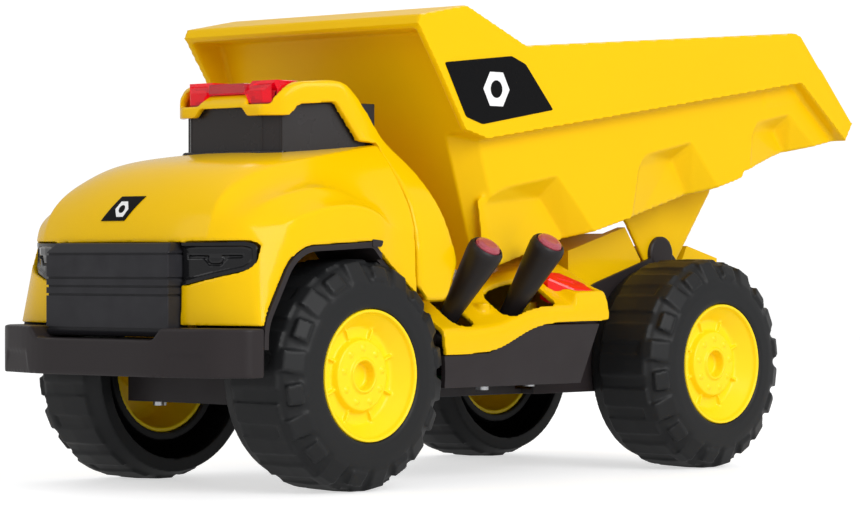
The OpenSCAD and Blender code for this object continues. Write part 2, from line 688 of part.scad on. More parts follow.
module bed_badge(side) color(black)
  side_slab([[-83, 186.6], [-38.6, 191.3], [-29, 188], [-10, 168], [-58, 160], [-69, 163]],
    side > 0 ? band_half + 0.05 : -band_half - 0.35, side > 0 ? band_half + 0.35 : -band_half - 0.05);

module bed_badge_left() bed_badge(1);
module bed_badge_right() bed_badge(-1);

module bed_hinge_pin() color(steel) rod_x(pin_r, -rear_half + 0.2, rear_half - 0.2, hinge_y, hinge_z);

// ---- levers and button -----------------------------------------------------------------------

// A lever about its own pivot, standing upright
module lever_stick(len) {
  cylinder(r1 = lever_neck_r - 0.4, r2 = lever_neck_r, h = 16);
  translate([0, 0, 15.99]) cylinder(r1 = lever_neck_r, r2 = lever_top_r, h = len - 20);
  translate([0, 0, len - 4.02]) cylinder(r1 = lever_top_r, r2 = lever_top_r - 1.6, h = 2.5);
  sphere(r = lever_neck_r + 1);
}

module lever_lens(len) {
  translate([0, 0, len - 1.4]) cylinder(r1 = lever_top_r - 1.9, r2 = lever_top_r - 3.6, h = 1.9);
}

module lever_front() color(dark) {
  leaning(lever_front_pivot, lever_lean) lever_stick(lever_len);
  translate(lever_front_pivot) rotate([90, 0, 0]) cylinder(r = trunnion_r, h = 16, center = true);
}

module lever_front_lens() color(red) leaning(lever_front_pivot, lever_lean) lever_lens(lever_len);
module lever_rear() color(dark) {
  leaning(lever_rear_pivot, lever_lean) lever_stick(lever_len + rear_lever_extra);
  rod_x(trunnion_r, 46.4, 64.2, lever_rear_pivot[1], lever_rear_pivot[2]);
}

module lever_rear_lens() color(red)
  leaning(lever_rear_pivot, lever_lean) lever_lens(lever_len + rear_lever_extra);

module sound_button() color(red) {
  intersection() {
    button_prism(1, 70, 100);
    leaning(button_spot, button_lean) block([-20, -20, -5], [20, 20, 4]);
  }
  rod_z(3, 72, 84, button_spot[0], button_spot[1]);
}

chassis_tray();
front_bumper();
grille();
headlight_left();
headlight_right();
cab_front_shell();
cab_rear_shell();
window_insert();
light_bar_lens();
light_bar_board();
fender_liner_left();
fender_liner_right();
side_deck();
rear_frame();
hood_badge();
battery_box();
battery_door();
batteries();
battery_contacts();
circuit_board();
speaker();
lever_switch_board();
button_switch_board();
lever_cradles();
drive_gearbox();
drive_motor();
lift_gearbox();
lift_motor();
chassis_screws();
door_screw();
front_axle();
front_rim_left();
front_rim_right();
front_tyre_left();
front_tyre_right();
rear_axle();
rear_rim_left();
rear_rim_right();
rear_tyre_left();
rear_tyre_right();
axle_gear();
drive_pinion();
bed_shell();
bed_badge_left();
bed_badge_right();
bed_hinge_pin();
lift_sector();
lift_pinion();
lever_front();
lever_front_lens();
lever_rear();
lever_rear_lens();
sound_button();
power_switch();
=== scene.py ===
import json
import math

import bmesh
import bpy
from mathutils import Matrix, Vector


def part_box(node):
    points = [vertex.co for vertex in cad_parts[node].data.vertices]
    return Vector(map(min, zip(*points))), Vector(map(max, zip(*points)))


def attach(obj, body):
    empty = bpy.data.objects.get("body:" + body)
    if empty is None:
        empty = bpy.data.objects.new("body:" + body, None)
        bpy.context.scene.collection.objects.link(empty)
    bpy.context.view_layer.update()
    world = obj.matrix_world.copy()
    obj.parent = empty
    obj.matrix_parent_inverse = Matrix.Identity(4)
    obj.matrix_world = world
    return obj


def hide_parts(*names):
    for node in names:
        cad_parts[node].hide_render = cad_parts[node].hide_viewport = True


# Toy dump truck: X across, the nose points to -Y, the floor is z = 0. Sizes below are in millimetres.
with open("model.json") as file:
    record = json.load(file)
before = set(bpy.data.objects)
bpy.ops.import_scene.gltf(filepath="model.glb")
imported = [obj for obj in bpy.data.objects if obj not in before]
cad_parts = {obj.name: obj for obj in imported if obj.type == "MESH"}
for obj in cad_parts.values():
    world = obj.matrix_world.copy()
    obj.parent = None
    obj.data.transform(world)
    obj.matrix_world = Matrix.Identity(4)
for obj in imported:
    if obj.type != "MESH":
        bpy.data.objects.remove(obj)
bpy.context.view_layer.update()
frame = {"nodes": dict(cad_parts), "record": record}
mm = 0.001
wheelCentre = (0, -137, 50)  # front axle
hingeCentre = (0, 105, 102.5)  # pin of the dump bed
print("frame loaded")


def addObject(name, data):
    obj = bpy.data.objects.new(name, data)
    bpy.context.scene.collection.objects.link(obj)
    return obj


def fromShape(name, shape):
    data = bpy.data.meshes.new(name)
    shape.to_mesh(data)
    shape.free()
    return addObject(name, data)


def rounded(outline, radius, steps=5):
    # outline with every corner turned into a small arc
    radii = radius if isinstance(radius, (list, tuple)) else [radius] * len(outline)
    points = []
    for i, corner in enumerate(outline):
        here = Vector(corner)
        before, after = Vector(outline[i - 1]), Vector(outline[(i + 1) % len(outline)])
        reach = min(radii[i], 0.48 * (before - here).length, 0.48 * (after - here).length)
        if reach < 0.05:
            points.append(tuple(here))
            continue
        start = here + (before - here).normalized() * reach
        end = here + (after - here).normalized() * reach
        for s in range(steps + 1):
            t = s / steps
            points.append(tuple(start * (1 - t) ** 2 + here * 2 * t * (1 - t) + end * t ** 2))
    return points


def mirrored(half):
    # closes an outline given for x >= 0
    return half + [(-a, b) for a, b in reversed(half) if a > 0.01]


def slab(name, outline, low, high, axis):
    # outline swept between two heights along one axis
    places = {"x": lambda a, b, t: (t, a, b), "y": lambda a, b, t: (a, t, b), "z": lambda a, b, t: (a, b, t)}
    shape = bmesh.new()
    rings = [[shape.verts.new(Vector(places[axis](a, b, t)) * mm) for a, b in outline] for t in (low, high)]
    for ring in rings:
        shape.faces.new(ring)
    for i in range(len(outline)):
        j = (i + 1) % len(outline)
        shape.faces.new((rings[0][i], rings[0][j], rings[1][j], rings[1][i]))
    bmesh.ops.recalc_face_normals(shape, faces=shape.faces)
    return fromShape(name, shape)


def lofted(name, *rings):
    # closed solid through outlines of the same number of 3-D points
    shape = bmesh.new()
    made = [[shape.verts.new(Vector(p) * mm) for p in ring] for ring in rings]
    shape.faces.new(made[0])
    shape.faces.new(made[-1])
    for one, two in zip(made, made[1:]):
        for i in range(len(one)):
            j = (i + 1) % len(one)
            shape.faces.new((one[i], one[j], two[j], two[i]))
    bmesh.ops.triangulate(shape, faces=shape.faces)
    bmesh.ops.recalc_face_normals(shape, faces=shape.faces)
    return fromShape(name, shape)


def turned(name, profile, steps=96):
    # profile of (x, radius) points turned about the X axis; the first and last may lie on the axis
    shape = bmesh.new()
    rings = []
    for x, r in profile:
        if r < 0.001:
            rings.append([shape.verts.new((x * mm, 0, 0))])
            continue
        rings.append([shape.verts.new((x * mm, r * mm * math.sin(a), r * mm * math.cos(a)))
                      for a in (2 * math.pi * k / steps for k in range(steps))])
    pairs = list(zip(rings, rings[1:]))
    if len(rings[0]) > 1:
        pairs.append((rings[-1], rings[0]))
    for one, two in pairs:
        for k in range(steps):
            n = (k + 1) % steps
            corners = {one[k % len(one)]: 0, one[n % len(one)]: 0, two[n % len(two)]: 0, two[k % len(two)]: 0}
            if len(corners) > 2:
                shape.faces.new(list(corners))
    bmesh.ops.recalc_face_normals(shape, faces=shape.faces)
    return fromShape(name, shape)


def bake(obj):
    # modifiers become plain mesh
    graph = bpy.context.evaluated_depsgraph_get()
    fresh = bpy.data.meshes.new_from_object(obj.evaluated_get(graph))
    obj.modifiers.clear()
    old, obj.data = obj.data, fresh
    bpy.data.meshes.remove(old)
    return obj


def moved(obj, place):
    obj.data.transform(Matrix.Translation(Vector(place) * mm))
    return obj


def upright(obj):
    # a piece turned about X, stood along Z
    obj.data.transform(Matrix.Rotation(math.radians(-90), 4, "Y"))
    return obj


def combine(obj, other, operation):
    # the exact solver takes over where the quick one changes nothing
    before = len(obj.data.vertices)
    for solver in ("MANIFOLD", "EXACT"):
        step = obj.modifiers.new("combine", "BOOLEAN")
        step.object, step.operation, step.solver = other, operation, solver
        bake(obj)
        if len(obj.data.vertices) not in (0, before):
            break
    bpy.data.objects.remove(other)
    return obj


def cut(obj, *tools):
    for tool in tools:
        combine(obj, tool, "DIFFERENCE")
    return obj


def unite(obj, *others):
    for other in others:
        combine(obj, other, "UNION")
    return obj


def join(obj, *others):
    # puts several meshes into one without cutting them
    shape = bmesh.new()
    shape.from_mesh(obj.data)
    for other in others:
        shape.from_mesh(other.data)
        bpy.data.objects.remove(other)
    shape.to_mesh(obj.data)
    shape.free()
    return obj


def cadCopy(node, name):
    shape = bmesh.new()
    shape.from_mesh(frame["nodes"][node].data)
    bmesh.ops.remove_doubles(shape, verts=shape.verts, dist=0.002 * mm)
    bmesh.ops.dissolve_limit(shape, angle_limit=0.005, verts=shape.verts, edges=shape.edges)
    bmesh.ops.triangulate(shape, faces=shape.faces)
    return fromShape(name, shape)


def mould(obj, skin=0.9, passes=4, flatten=0.6):
    # one skin over everything, its edges softened as a mould leaves them, and its flats made plain again
    wrap = obj.modifiers.new("skin", "REMESH")
    wrap.mode, wrap.voxel_size = "VOXEL", skin * mm * 1
    if passes:
        soften = obj.modifiers.new("soften", "SMOOTH")
        soften.factor, soften.iterations = 0.5, passes
    if flatten:
        thin = obj.modifiers.new("flatten", "DECIMATE")
        thin.decimate_type, thin.angle_limit = "DISSOLVE", math.radians(flatten)
    return bake(obj)


def shadeSmooth(obj, sharp=40):
    obj.data.polygons.foreach_set("use_smooth", [True] * len(obj.data.polygons))
    obj.data.update()
    if sharp:
        shape = bmesh.new()
        shape.from_mesh(obj.data)
        for edge in shape.edges:
            edge.smooth = len(edge.link_faces) == 2 and edge.calc_face_angle(0) < math.radians(sharp)
        shape.to_mesh(obj.data)
        shape.free()
    weigh = obj.modifiers.new("weigh", "WEIGHTED_NORMAL")
    weigh.keep_sharp, weigh.weight = True, 50
    return bake(obj)


def rounding(obj, width, segments=3, angle=30):
    soft = obj.modifiers.new("rounding", "BEVEL")
    soft.width, soft.segments, soft.limit_method = width * mm, segments, "ANGLE"
    soft.angle_limit, soft.use_clamp_overlap = math.radians(angle), True
    return bake(obj)


def flipped(obj, name):
    # the same piece on the other side of the truck
    shape = bmesh.new()
    shape.from_mesh(obj.data)
    shape.transform(Matrix.Scale(-1, 4, (1, 0, 0)))
    bmesh.ops.reverse_faces(shape, faces=shape.faces)
    return fromShape(name, shape)


def both(name, maker):
    # a tool on the left side and its mirror image on the right, in one mesh
    left = maker(name)
    return join(left, flipped(left, name + "Right"))


def wear(obj, material, body, slot, *nodes):
    # finish, body and CAD nodes of a finished piece
    obj.data.materials.clear()
    obj.data.materials.append(material)
    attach(obj, body)
    if nodes:
        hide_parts(*nodes)
    return obj


def repeatTree():
    # Geometry Nodes that set any lug, rib, bolt or slat round an axle or along a line
    tree = bpy.data.node_groups.new("repeatPiece", "GeometryNodeTree")
    face = tree.interface
    face.new_socket("Geometry", in_out="INPUT", socket_type="NodeSocketGeometry")
    face.new_socket("Count", in_out="INPUT", socket_type="NodeSocketInt").default_value = 8
    face.new_socket("Turn", in_out="INPUT", socket_type="NodeSocketVector")
    face.new_socket("Step", in_out="INPUT", socket_type="NodeSocketVector")
    face.new_socket("Seed", in_out="INPUT", socket_type="NodeSocketInt").default_value = 3
    face.new_socket("Size change", in_out="INPUT", socket_type="NodeSocketFloat").default_value = 0
    face.new_socket("Finish", in_out="INPUT", socket_type="NodeSocketMaterial")
    face.new_socket("Geometry", in_out="OUTPUT", socket_type="NodeSocketGeometry")
    nodes, links = tree.nodes, tree.links
    ins, outs = nodes.new("NodeGroupInput"), nodes.new("NodeGroupOutput")
    row = nodes.new("GeometryNodeMeshLine")
    row.mode = "OFFSET"
    index, turn = nodes.new("GeometryNodeInputIndex"), nodes.new("ShaderNodeVectorMath")
    turn.operation = "SCALE"
    jitter = nodes.new("FunctionNodeRandomValue")
    spread, size = nodes.new("ShaderNodeMath"), nodes.new("ShaderNodeMath")
    spread.operation, size.operation = "MULTIPLY", "ADD"
    size.inputs[1].default_value = 1
    place = nodes.new("GeometryNodeInstanceOnPoints")
    real, paint = nodes.new("GeometryNodeRealizeInstances"), nodes.new("GeometryNodeSetMaterial")
    links.new(ins.outputs["Count"], row.inputs["Count"])
    links.new(ins.outputs["Step"], row.inputs["Offset"])
    links.new(index.outputs[0], turn.inputs["Scale"])
    links.new(ins.outputs["Turn"], turn.inputs[0])
    links.new(ins.outputs["Seed"], jitter.inputs["Seed"])
    links.new(jitter.outputs[1], spread.inputs[0])
    links.new(ins.outputs["Size change"], spread.inputs[1])
    links.new(spread.outputs[0], size.inputs[0])
    links.new(row.outputs[0], place.inputs["Points"])
    links.new(ins.outputs["Geometry"], place.inputs["Instance"])
    links.new(turn.outputs[0], place.inputs["Rotation"])
    links.new(size.outputs[0], place.inputs["Scale"])
    links.new(place.outputs[0], real.inputs[0])
    links.new(real.outputs[0], paint.inputs["Geometry"])
    links.new(ins.outputs["Finish"], paint.inputs["Material"])
    links.new(paint.outputs[0], outs.inputs[0])
    return tree


repeatPiece = repeatTree()


def repeat(obj, count, turn=(0, 0, 0), step=(0, 0, 0), finish=None):
    # the piece repeated count times, each turned (degrees) and moved (mm) a step further than the last
    tool = obj.modifiers.new("repeat", "NODES")
    tool.node_group = repeatPiece
    values = {"Count": count, "Turn": [math.radians(a) for a in turn], "Step": [s * mm for s in step],
              "Finish": finish}
    for item in repeatPiece.interface.items_tree:
        if item.in_out == "INPUT" and item.name in values:
            tool[item.identifier] = values[item.name]
    return bake(obj)


def shaderGroup(name, inputs, outputs):
    group = bpy.data.node_groups.new(name, "ShaderNodeTree")
    for label, kind, value in inputs:
        socket = group.interface.new_socket(label, in_out="INPUT", socket_type="NodeSocket" + kind)
        if value is not None:
            socket.default_value = value
    for label, kind in outputs:
        group.interface.new_socket(label, in_out="OUTPUT", socket_type="NodeSocket" + kind)
    return group, group.nodes.new("NodeGroupInput"), group.nodes.new("NodeGroupOutput")


def mathNode(tree, operation, one, two=None, clamp=False):
    node = tree.nodes.new("ShaderNodeMath")
    node.operation, node.use_clamp = operation, clamp
    for socket, value in zip(node.inputs, (one, two)):
        if isinstance(value, (int, float)):
            socket.default_value = value
        elif value is not None:
            tree.links.new(value, socket)
    return node.outputs[0]


def mouldSkinGroup():
    # fine skin of moulded plastic: faint flow in the colour, uneven gloss and a soft ripple
    group, ins, outs = shaderGroup(
        "mouldSkin",
        [("Base", "Color", (0.8, 0.8, 0.8, 1)), ("Flow", "Float", 0.05), ("Grain size", "Float", 900),
         ("Gloss", "Float", 0.3), ("Gloss change", "Float", 0.08), ("Ripple", "Float", 0.3)],
        [("Color", "Color"), ("Roughness", "Float"), ("Height", "Float")])
    links = group.links
    place = group.nodes.new("ShaderNodeTexCoord")
    flow, grain, smear = (group.nodes.new("ShaderNodeTexNoise") for _ in range(3))
    flow.inputs["Scale"].default_value, flow.inputs["Detail"].default_value = 14, 3
    smear.inputs["Scale"].default_value, smear.inputs["Detail"].default_value = 60, 4
    grain.inputs["Detail"].default_value = 2
    links.new(ins.outputs["Grain size"], grain.inputs["Scale"])
    for noise in (flow, grain, smear):
        links.new(place.outputs["Object"], noise.inputs["Vector"])
    shift = mathNode(group, "MULTIPLY", mathNode(group, "SUBTRACT", flow.outputs["Fac"], 0.5), ins.outputs["Flow"])
    tint = group.nodes.new("ShaderNodeHueSaturation")
    links.new(mathNode(group, "ADD", mathNode(group, "MULTIPLY", shift, 2), 1), tint.inputs["Value"])
    links.new(mathNode(group, "ADD", mathNode(group, "MULTIPLY", shift, -0.12), 0.5), tint.inputs["Hue"])
    links.new(ins.outputs["Base"], tint.inputs["Color"])
    gloss = mathNode(group, "MULTIPLY", mathNode(group, "SUBTRACT", smear.outputs["Fac"], 0.5),
                     ins.outputs["Gloss change"])
    links.new(tint.outputs["Color"], outs.inputs["Color"])
    links.new(mathNode(group, "ADD", gloss, ins.outputs["Gloss"], clamp=True), outs.inputs["Roughness"])
    links.new(mathNode(group, "MULTIPLY", grain.outputs["Fac"], ins.outputs["Ripple"]), outs.inputs["Height"])
    return group


def edgeWearAndHighlightGroup():
    # pale rub wear along outer edges, and partly a painted highlight where the edges would catch the light
    group, ins, outs = shaderGroup(
        "edgeWearAndHighlight", [("Base", "Color", (0, 0, 0, 1)), ("Rub", "Color", (0.2, 0.2, 0.2, 1)), ("Amount", "Float", 0.3)],
        [("Color", "Color")])
    links = group.links
    shape, place = group.nodes.new("ShaderNodeNewGeometry"), group.nodes.new("ShaderNodeTexCoord")
    patch, ramp, mix = (group.nodes.new("ShaderNode" + kind) for kind in ("TexNoise", "MapRange", "Mix"))
    mix.data_type = "RGBA"
    patch.inputs["Scale"].default_value = 90
    ramp.inputs["From Min"].default_value, ramp.inputs["From Max"].default_value = 0.52, 0.62
    links.new(place.outputs["Object"], patch.inputs["Vector"])
    links.new(shape.outputs["Pointiness"], ramp.inputs["Value"])
    amount = mathNode(group, "MULTIPLY", ramp.outputs[0], patch.outputs["Fac"])
    links.new(mathNode(group, "MULTIPLY", amount, ins.outputs["Amount"], clamp=True), mix.inputs[0])
    links.new(ins.outputs["Base"], mix.inputs[6])
    links.new(ins.outputs["Rub"], mix.inputs[7])
    links.new(mix.outputs[2], outs.inputs["Color"])
    return group


def nutMarkGroup():
    # outline of a hexagon nut round the origin of the plane given in the vector's X and Y
    group, ins, outs = shaderGroup(
        "nutMark", [("Vector", "Vector", None), ("Size", "Float", 0.01), ("Hole", "Float", 0.5)], [("Mask", "Float")])
    links = group.links
    parts = group.nodes.new("ShaderNodeSeparateXYZ")
    links.new(ins.outputs["Vector"], parts.inputs[0])
    across = mathNode(group, "ABSOLUTE", parts.outputs["X"])
    up = mathNode(group, "ABSOLUTE", parts.outputs["Y"])
    slope = mathNode(group, "ADD", mathNode(group, "MULTIPLY", across, 0.866), mathNode(group, "MULTIPLY", up, 0.5))
    hexagon = mathNode(group, "LESS_THAN", mathNode(group, "MAXIMUM", slope, up), ins.outputs["Size"])
    radius = mathNode(group, "SQRT", mathNode(group, "ADD", mathNode(group, "MULTIPLY", across, across),
                                              mathNode(group, "MULTIPLY", up, up)))
    hole = mathNode(group, "GREATER_THAN", radius, mathNode(group, "MULTIPLY", ins.outputs["Size"],
                                                            ins.outputs["Hole"]))
    links.new(mathNode(group, "MULTIPLY", hexagon, hole), outs.inputs["Mask"])
    return group


mouldSkin, edgeWearAndHighlight, nutMark = mouldSkinGroup(), edgeWearAndHighlightGroup(), nutMarkGroup()


def addGroup(tree, group, values):
    node = tree.nodes.new("ShaderNodeGroup")
    node.node_tree = group
    for label, value in values.items():
        node.inputs[label].default_value = value
    return node


def plastic(name, colour, gloss=0.3, glossChange=0.08, flow=0.04, grain=900, ripple=0.3, depth=0.02,
            rub=None, wearAndHighlightAmount=0.4, coat=0.0, metal=0.0, clear=0.0, paintedGlow=None, shine=0.28):
    # moulded plastic, with every constant on the shader's own sockets
    made = bpy.data.materials.new(name)
    made.use_nodes = True
    tree = made.node_tree
    shader = tree.nodes["Principled BSDF"]
    skin = addGroup(tree, mouldSkin, {"Base": (*colour, 1), "Flow": flow, "Grain size": grain, "Gloss": gloss,
                                      "Gloss change": glossChange, "Ripple": ripple})
    colourOut = skin.outputs["Color"]
    # pale edge colour: rub wear, and partly a painted highlight along the outer edges
    if rub:
        edges = addGroup(tree, edgeWearAndHighlight, {"Rub": (*rub, 1), "Amount": wearAndHighlightAmount})
        tree.links.new(colourOut, edges.inputs["Base"])
        colourOut = edges.outputs["Color"]
    bump = tree.nodes.new("ShaderNodeBump")
    bump.inputs["Strength"].default_value, bump.inputs["Distance"].default_value = 0.35, depth * mm
    tree.links.new(colourOut, shader.inputs["Base Color"])
    tree.links.new(skin.outputs["Roughness"], shader.inputs["Roughness"])
    tree.links.new(skin.outputs["Height"], bump.inputs["Height"])
    tree.links.new(bump.outputs[0], shader.inputs["Normal"])
    shader.inputs["Coat Weight"].default_value, shader.inputs["Coat Roughness"].default_value = coat, 0.08
    shader.inputs["Metallic"].default_value, shader.inputs["Transmission Weight"].default_value = metal, clear
    shader.inputs["IOR"].default_value, shader.inputs["Specular IOR Level"].default_value = 1.49, shine
    # painted glow: a faint emission in the part's own colour, standing in for light caught in the clear red plastic
    if paintedGlow:
        shader.inputs["Emission Color"].default_value = (*paintedGlow, 1)
        shader.inputs["Emission Strength"].default_value = 0.25
    return made


def label(name, centre, turn, size, paper=(0.004, 0.004, 0.0045)):
    # black printed label with a white hexagon nut on it
    made = plastic(name, paper, gloss=0.28, flow=0.02, grain=500, ripple=0.2, shine=0.08)
    tree = made.node_tree
    shader = tree.nodes["Principled BSDF"]
    place, move = tree.nodes.new("ShaderNodeTexCoord"), tree.nodes.new("ShaderNodeMapping")
    move.vector_type = "TEXTURE"
    move.inputs["Location"].default_value = [c * mm for c in centre]
    move.inputs["Rotation"].default_value = [math.radians(a) for a in turn]
    mark = addGroup(tree, nutMark, {"Size": size * mm, "Hole": 0.52})
    mix = tree.nodes.new("ShaderNodeMix")
    mix.data_type = "RGBA"
    mix.inputs[7].default_value = (0.86, 0.86, 0.86, 1)
    below = shader.inputs["Base Color"].links[0].from_socket
    tree.links.new(place.outputs["Object"], move.inputs["Vector"])
    tree.links.new(move.outputs[0], mark.inputs["Vector"])
    tree.links.new(mark.outputs["Mask"], mix.inputs[0])
    tree.links.new(below, mix.inputs[6])
    tree.links.new(mix.outputs[2], shader.inputs["Base Color"])
    return made


# the pale edge colours given below are partly edge wear and partly a painted edge highlight
bodyYellow = plastic("bodyYellow", (0.87, 0.525, 0.0006), gloss=0.2, flow=0.04, coat=0.1, shine=0.12,
                     rub=(0.95, 0.62, 0.02), wearAndHighlightAmount=0.12)
bedYellow = plastic("bedYellow", (0.87, 0.525, 0.0006), gloss=0.36, glossChange=0.1, flow=0.04, coat=0.03,
                    rub=(0.95, 0.62, 0.02), wearAndHighlightAmount=0.12, shine=0.1)
rimYellow = plastic("rimYellow", (0.98, 0.7, 0.008), gloss=0.34, flow=0.04)
charcoalPlastic = plastic("charcoalPlastic", (0.023, 0.0185, 0.0195),
                          gloss=0.42, grain=1500, ripple=0.6, rub=(0.08, 0.077, 0.08), shine=0.2)
grillePlastic = plastic("grillePlastic", (0.0145, 0.014, 0.017),
                        gloss=0.33, grain=1500, ripple=0.5, rub=(0.06, 0.06, 0.066), shine=0.2)
lampBlack = plastic("lampBlack", (0.006, 0.006, 0.007), gloss=0.12, glossChange=0.04, coat=0.25)
windowBlack = plastic("windowBlack", (0.019, 0.0165, 0.0175), gloss=0.27, glossChange=0.05, grain=1300, shine=0.35)
leverBlack = plastic("leverBlack", (0.014, 0.0115, 0.012), gloss=0.4, grain=1400, ripple=0.7,
                     rub=(0.06, 0.056, 0.056), shine=0.25)
tyreBlack = plastic("tyreBlack", (0.0125, 0.013, 0.0138), gloss=0.47, glossChange=0.12, grain=1100, ripple=0.8,
                    depth=0.04, rub=(0.05, 0.052, 0.055), wearAndHighlightAmount=0.6, shine=0.22)
# the light bar's red and the button's red carry a painted glow
clearRed = plastic("clearRed", (0.86, 0.004, 0.03), gloss=0.08, glossChange=0.03, clear=0.75, paintedGlow=(0.5, 0.0, 0.015))
smokedPink = plastic("smokedPink", (0.62, 0.16, 0.2), gloss=0.07, glossChange=0.03, clear=0.8)
lensPink = plastic("lensPink", (0.55, 0.1, 0.14), gloss=0.09, glossChange=0.05, clear=0.35, coat=0.5)
buttonRed = plastic("buttonRed", (0.84, 0.012, 0.008), gloss=0.14, coat=0.4, paintedGlow=(0.35, 0.004, 0.002))
starChrome = plastic("starChrome", (0.75, 0.28, 0.34), gloss=0.12, metal=0.9, flow=0.05)
boardGreen = plastic("boardGreen", (0.02, 0.16, 0.06), gloss=0.35, flow=0.25, grain=600)
zincSteel = plastic("zincSteel", (0.55, 0.56, 0.58), gloss=0.32, glossChange=0.2, flow=0.1, grain=2200, metal=1.0)
cellSteel = plastic("cellSteel", (0.6, 0.6, 0.62), gloss=0.25, glossChange=0.15, flow=0.12, grain=1800, metal=1.0)
acetalWhite = plastic("acetalWhite", (0.74, 0.71, 0.62), gloss=0.4, flow=0.08, grain=1000)
print("finishes made")


view = {"place": (1062.7, -1154.9, 98.5), "towards": (-0.680847, 0.732425, 0.000821), "lens": 138.6}
light = {"sky": 0.62, "keyPower": 24, "fillPower": 3, "rimPower": 5, "floorGlow": 0.6, "floorBounce": 0.22}


def makeCamera():
    data = bpy.data.cameras.new("camera")
    camera = addObject("camera", data)
    data.lens, data.sensor_width = view["lens"], 36
    data.clip_start, data.clip_end = 0.05, 50
    camera.location = Vector(view["place"]) * mm
    camera.rotation_mode = "QUATERNION"
    camera.rotation_quaternion = Vector(view["towards"]).to_track_quat("-Z", "Y")
    bpy.context.scene.camera = camera


def softLamp(name, place, aim, size, power, tint=(1, 1, 1)):
    data = bpy.data.lights.new(name, "AREA")
    data.shape, data.size, data.size_y, data.energy, data.color = "RECTANGLE", size[0], size[1], power, tint
    lamp = addObject(name, data)
    lamp.location = place
    lamp.rotation_mode = "QUATERNION"
    lamp.rotation_quaternion = (Vector(aim) - Vector(place)).to_track_quat("-Z", "Y")


def makeStage():
    sky = bpy.data.worlds.new("sky")
    bpy.context.scene.world = sky
    sky.use_nodes = True
    tree = sky.node_tree
    base, seen = tree.nodes["Background"], tree.nodes.new("ShaderNodeBackground")
    path = tree.nodes.new("ShaderNodeLightPath")
    mix = tree.nodes.new("ShaderNodeMixShader")
    base.inputs["Color"].default_value, base.inputs["Strength"].default_value = (1, 1, 1, 1), light["sky"]
    seen.inputs["Color"].default_value, seen.inputs["Strength"].default_value = (1, 1, 1, 1), 1.05
    tree.links.new(path.outputs["Is Camera Ray"], mix.inputs[0])
    tree.links.new(base.outputs[0], mix.inputs[1])
    tree.links.new(seen.outputs[0], mix.inputs[2])
    tree.links.new(mix.outputs[0], tree.nodes["World Output"].inputs["Surface"])
    floor = slab("floor", [(3000 * math.cos(a), 3000 * math.sin(a)) for a in (math.pi * k / 48 for k in range(96))],
                 -6, 0, "z")
    floor.data.materials.append(plastic("paleFloor", (0.6, 0.6, 0.605), gloss=0.55, flow=0.01, grain=200, ripple=0.1))
    tree = floor.data.materials[0].node_tree
    white, path = tree.nodes["Principled BSDF"], tree.nodes.new("ShaderNodeLightPath")
    white.inputs["Emission Color"].default_value = (1, 1, 1, 1)
    seen = mathNode(tree, "MULTIPLY", path.outputs["Is Camera Ray"], light["floorGlow"] - light["floorBounce"])
    tree.links.new(mathNode(tree, "ADD", seen, light["floorBounce"]), white.inputs["Emission Strength"])
    softLamp("keyLamp", (1.7, -0.35, 1.0), (0, -0.02, 0.1), (1.3, 1.1), light["keyPower"])
    softLamp("fillLamp", (-0.6, -1.6, 0.9), (0, -0.1, 0.1), (0.9, 0.9), light["fillPower"])
    softLamp("rimLamp", (-0.6, 1.2, 1.3), (0, 0.05, 0.12), (1.2, 0.6), light["rimPower"])
    bpy.context.scene.view_settings.view_transform = "Standard"


makeCamera()
makeStage()
print("camera, light and floor made")


# wheels are made with the outer face at x = 0 and the axle along X
tyreSizes = {"outer": 50, "base": 49.1, "width": 43.5, "hole": 28.6, "lugs": 10, "firstLug": 9, "treads": 20}
rimSizes = {"lip": 28.5, "disc": 15.2, "boltRing": 11.8, "bolts": 9, "ribs": 8, "collar": 7.3, "depth": 34.5}


def makeTyre():
    s = tyreSizes
    inside, edge = -s["width"], s["base"]
    body = turned("tyre", [(-0.9, s["hole"]), (-0.1, s["hole"] + 1.2), (0, 31), (-0.05, 36), (-0.5, 39.4),
                           (-1.5, 40.2), (-2, 41.6), (-6.4, edge - 1.9), (-9, edge - 0.3), (-15, edge + 0.1),
                           (-29, edge + 0.1), (-35, edge - 0.3), (-38.5, edge - 1.6), (inside, 46), (inside, 40),
                           (-40.5, 40), (-40.3, 44), (-36, 46.1), (-8, 46.1), (-3.6, 42.4), (-3.6, 32.2), (-36, 32.2),
                           (-36, s["hole"])], 128)
    shoulder = [(-1.1, 39.6), (-0.4, 40.2), (-4.9, 48.9), (-9.5, s["outer"] - 0.1), (-12, s["outer"] - 0.2),
                (-12, 46), (-4, 40)]
    lug = slab("lug", shoulder, -4.7, 4.7, "y")
    small = [(-0.9, 40.9), (-0.2, 41.6), (-3.4, 47.4), (-4.6, 47.5), (-5, 44), (-3, 41)]
    slim = slab("slimLug", small, -4.4, 4.4, "y")
    notch = slab("notch", [(1.2, 43.1), (-2.1, 46.6), (-0.9, 47.6), (2.4, 44)], -2.6, 2.6, "y")
    cut(slim, notch)
    tread = slab("tread", [(-8.5, s["outer"] - 2), (-8.5, s["outer"] - 0.2), (-20, s["outer"]),
                           (-36, s["outer"] - 0.6), (-36, 47)], -4.6, 4.6, "y")
    for piece, count, first in ((lug, s["lugs"], s["firstLug"]), (slim, s["lugs"], s["firstLug"] + 18),
                                (tread, s["treads"], 0)):
        piece.data.transform(Matrix.Rotation(math.radians(first), 4, "X"))
        repeat(piece, count, turn=(360 / count, 0, 0))
    return shadeSmooth(mould(join(body, lug, slim, tread), 0.85, 3, 0.5))


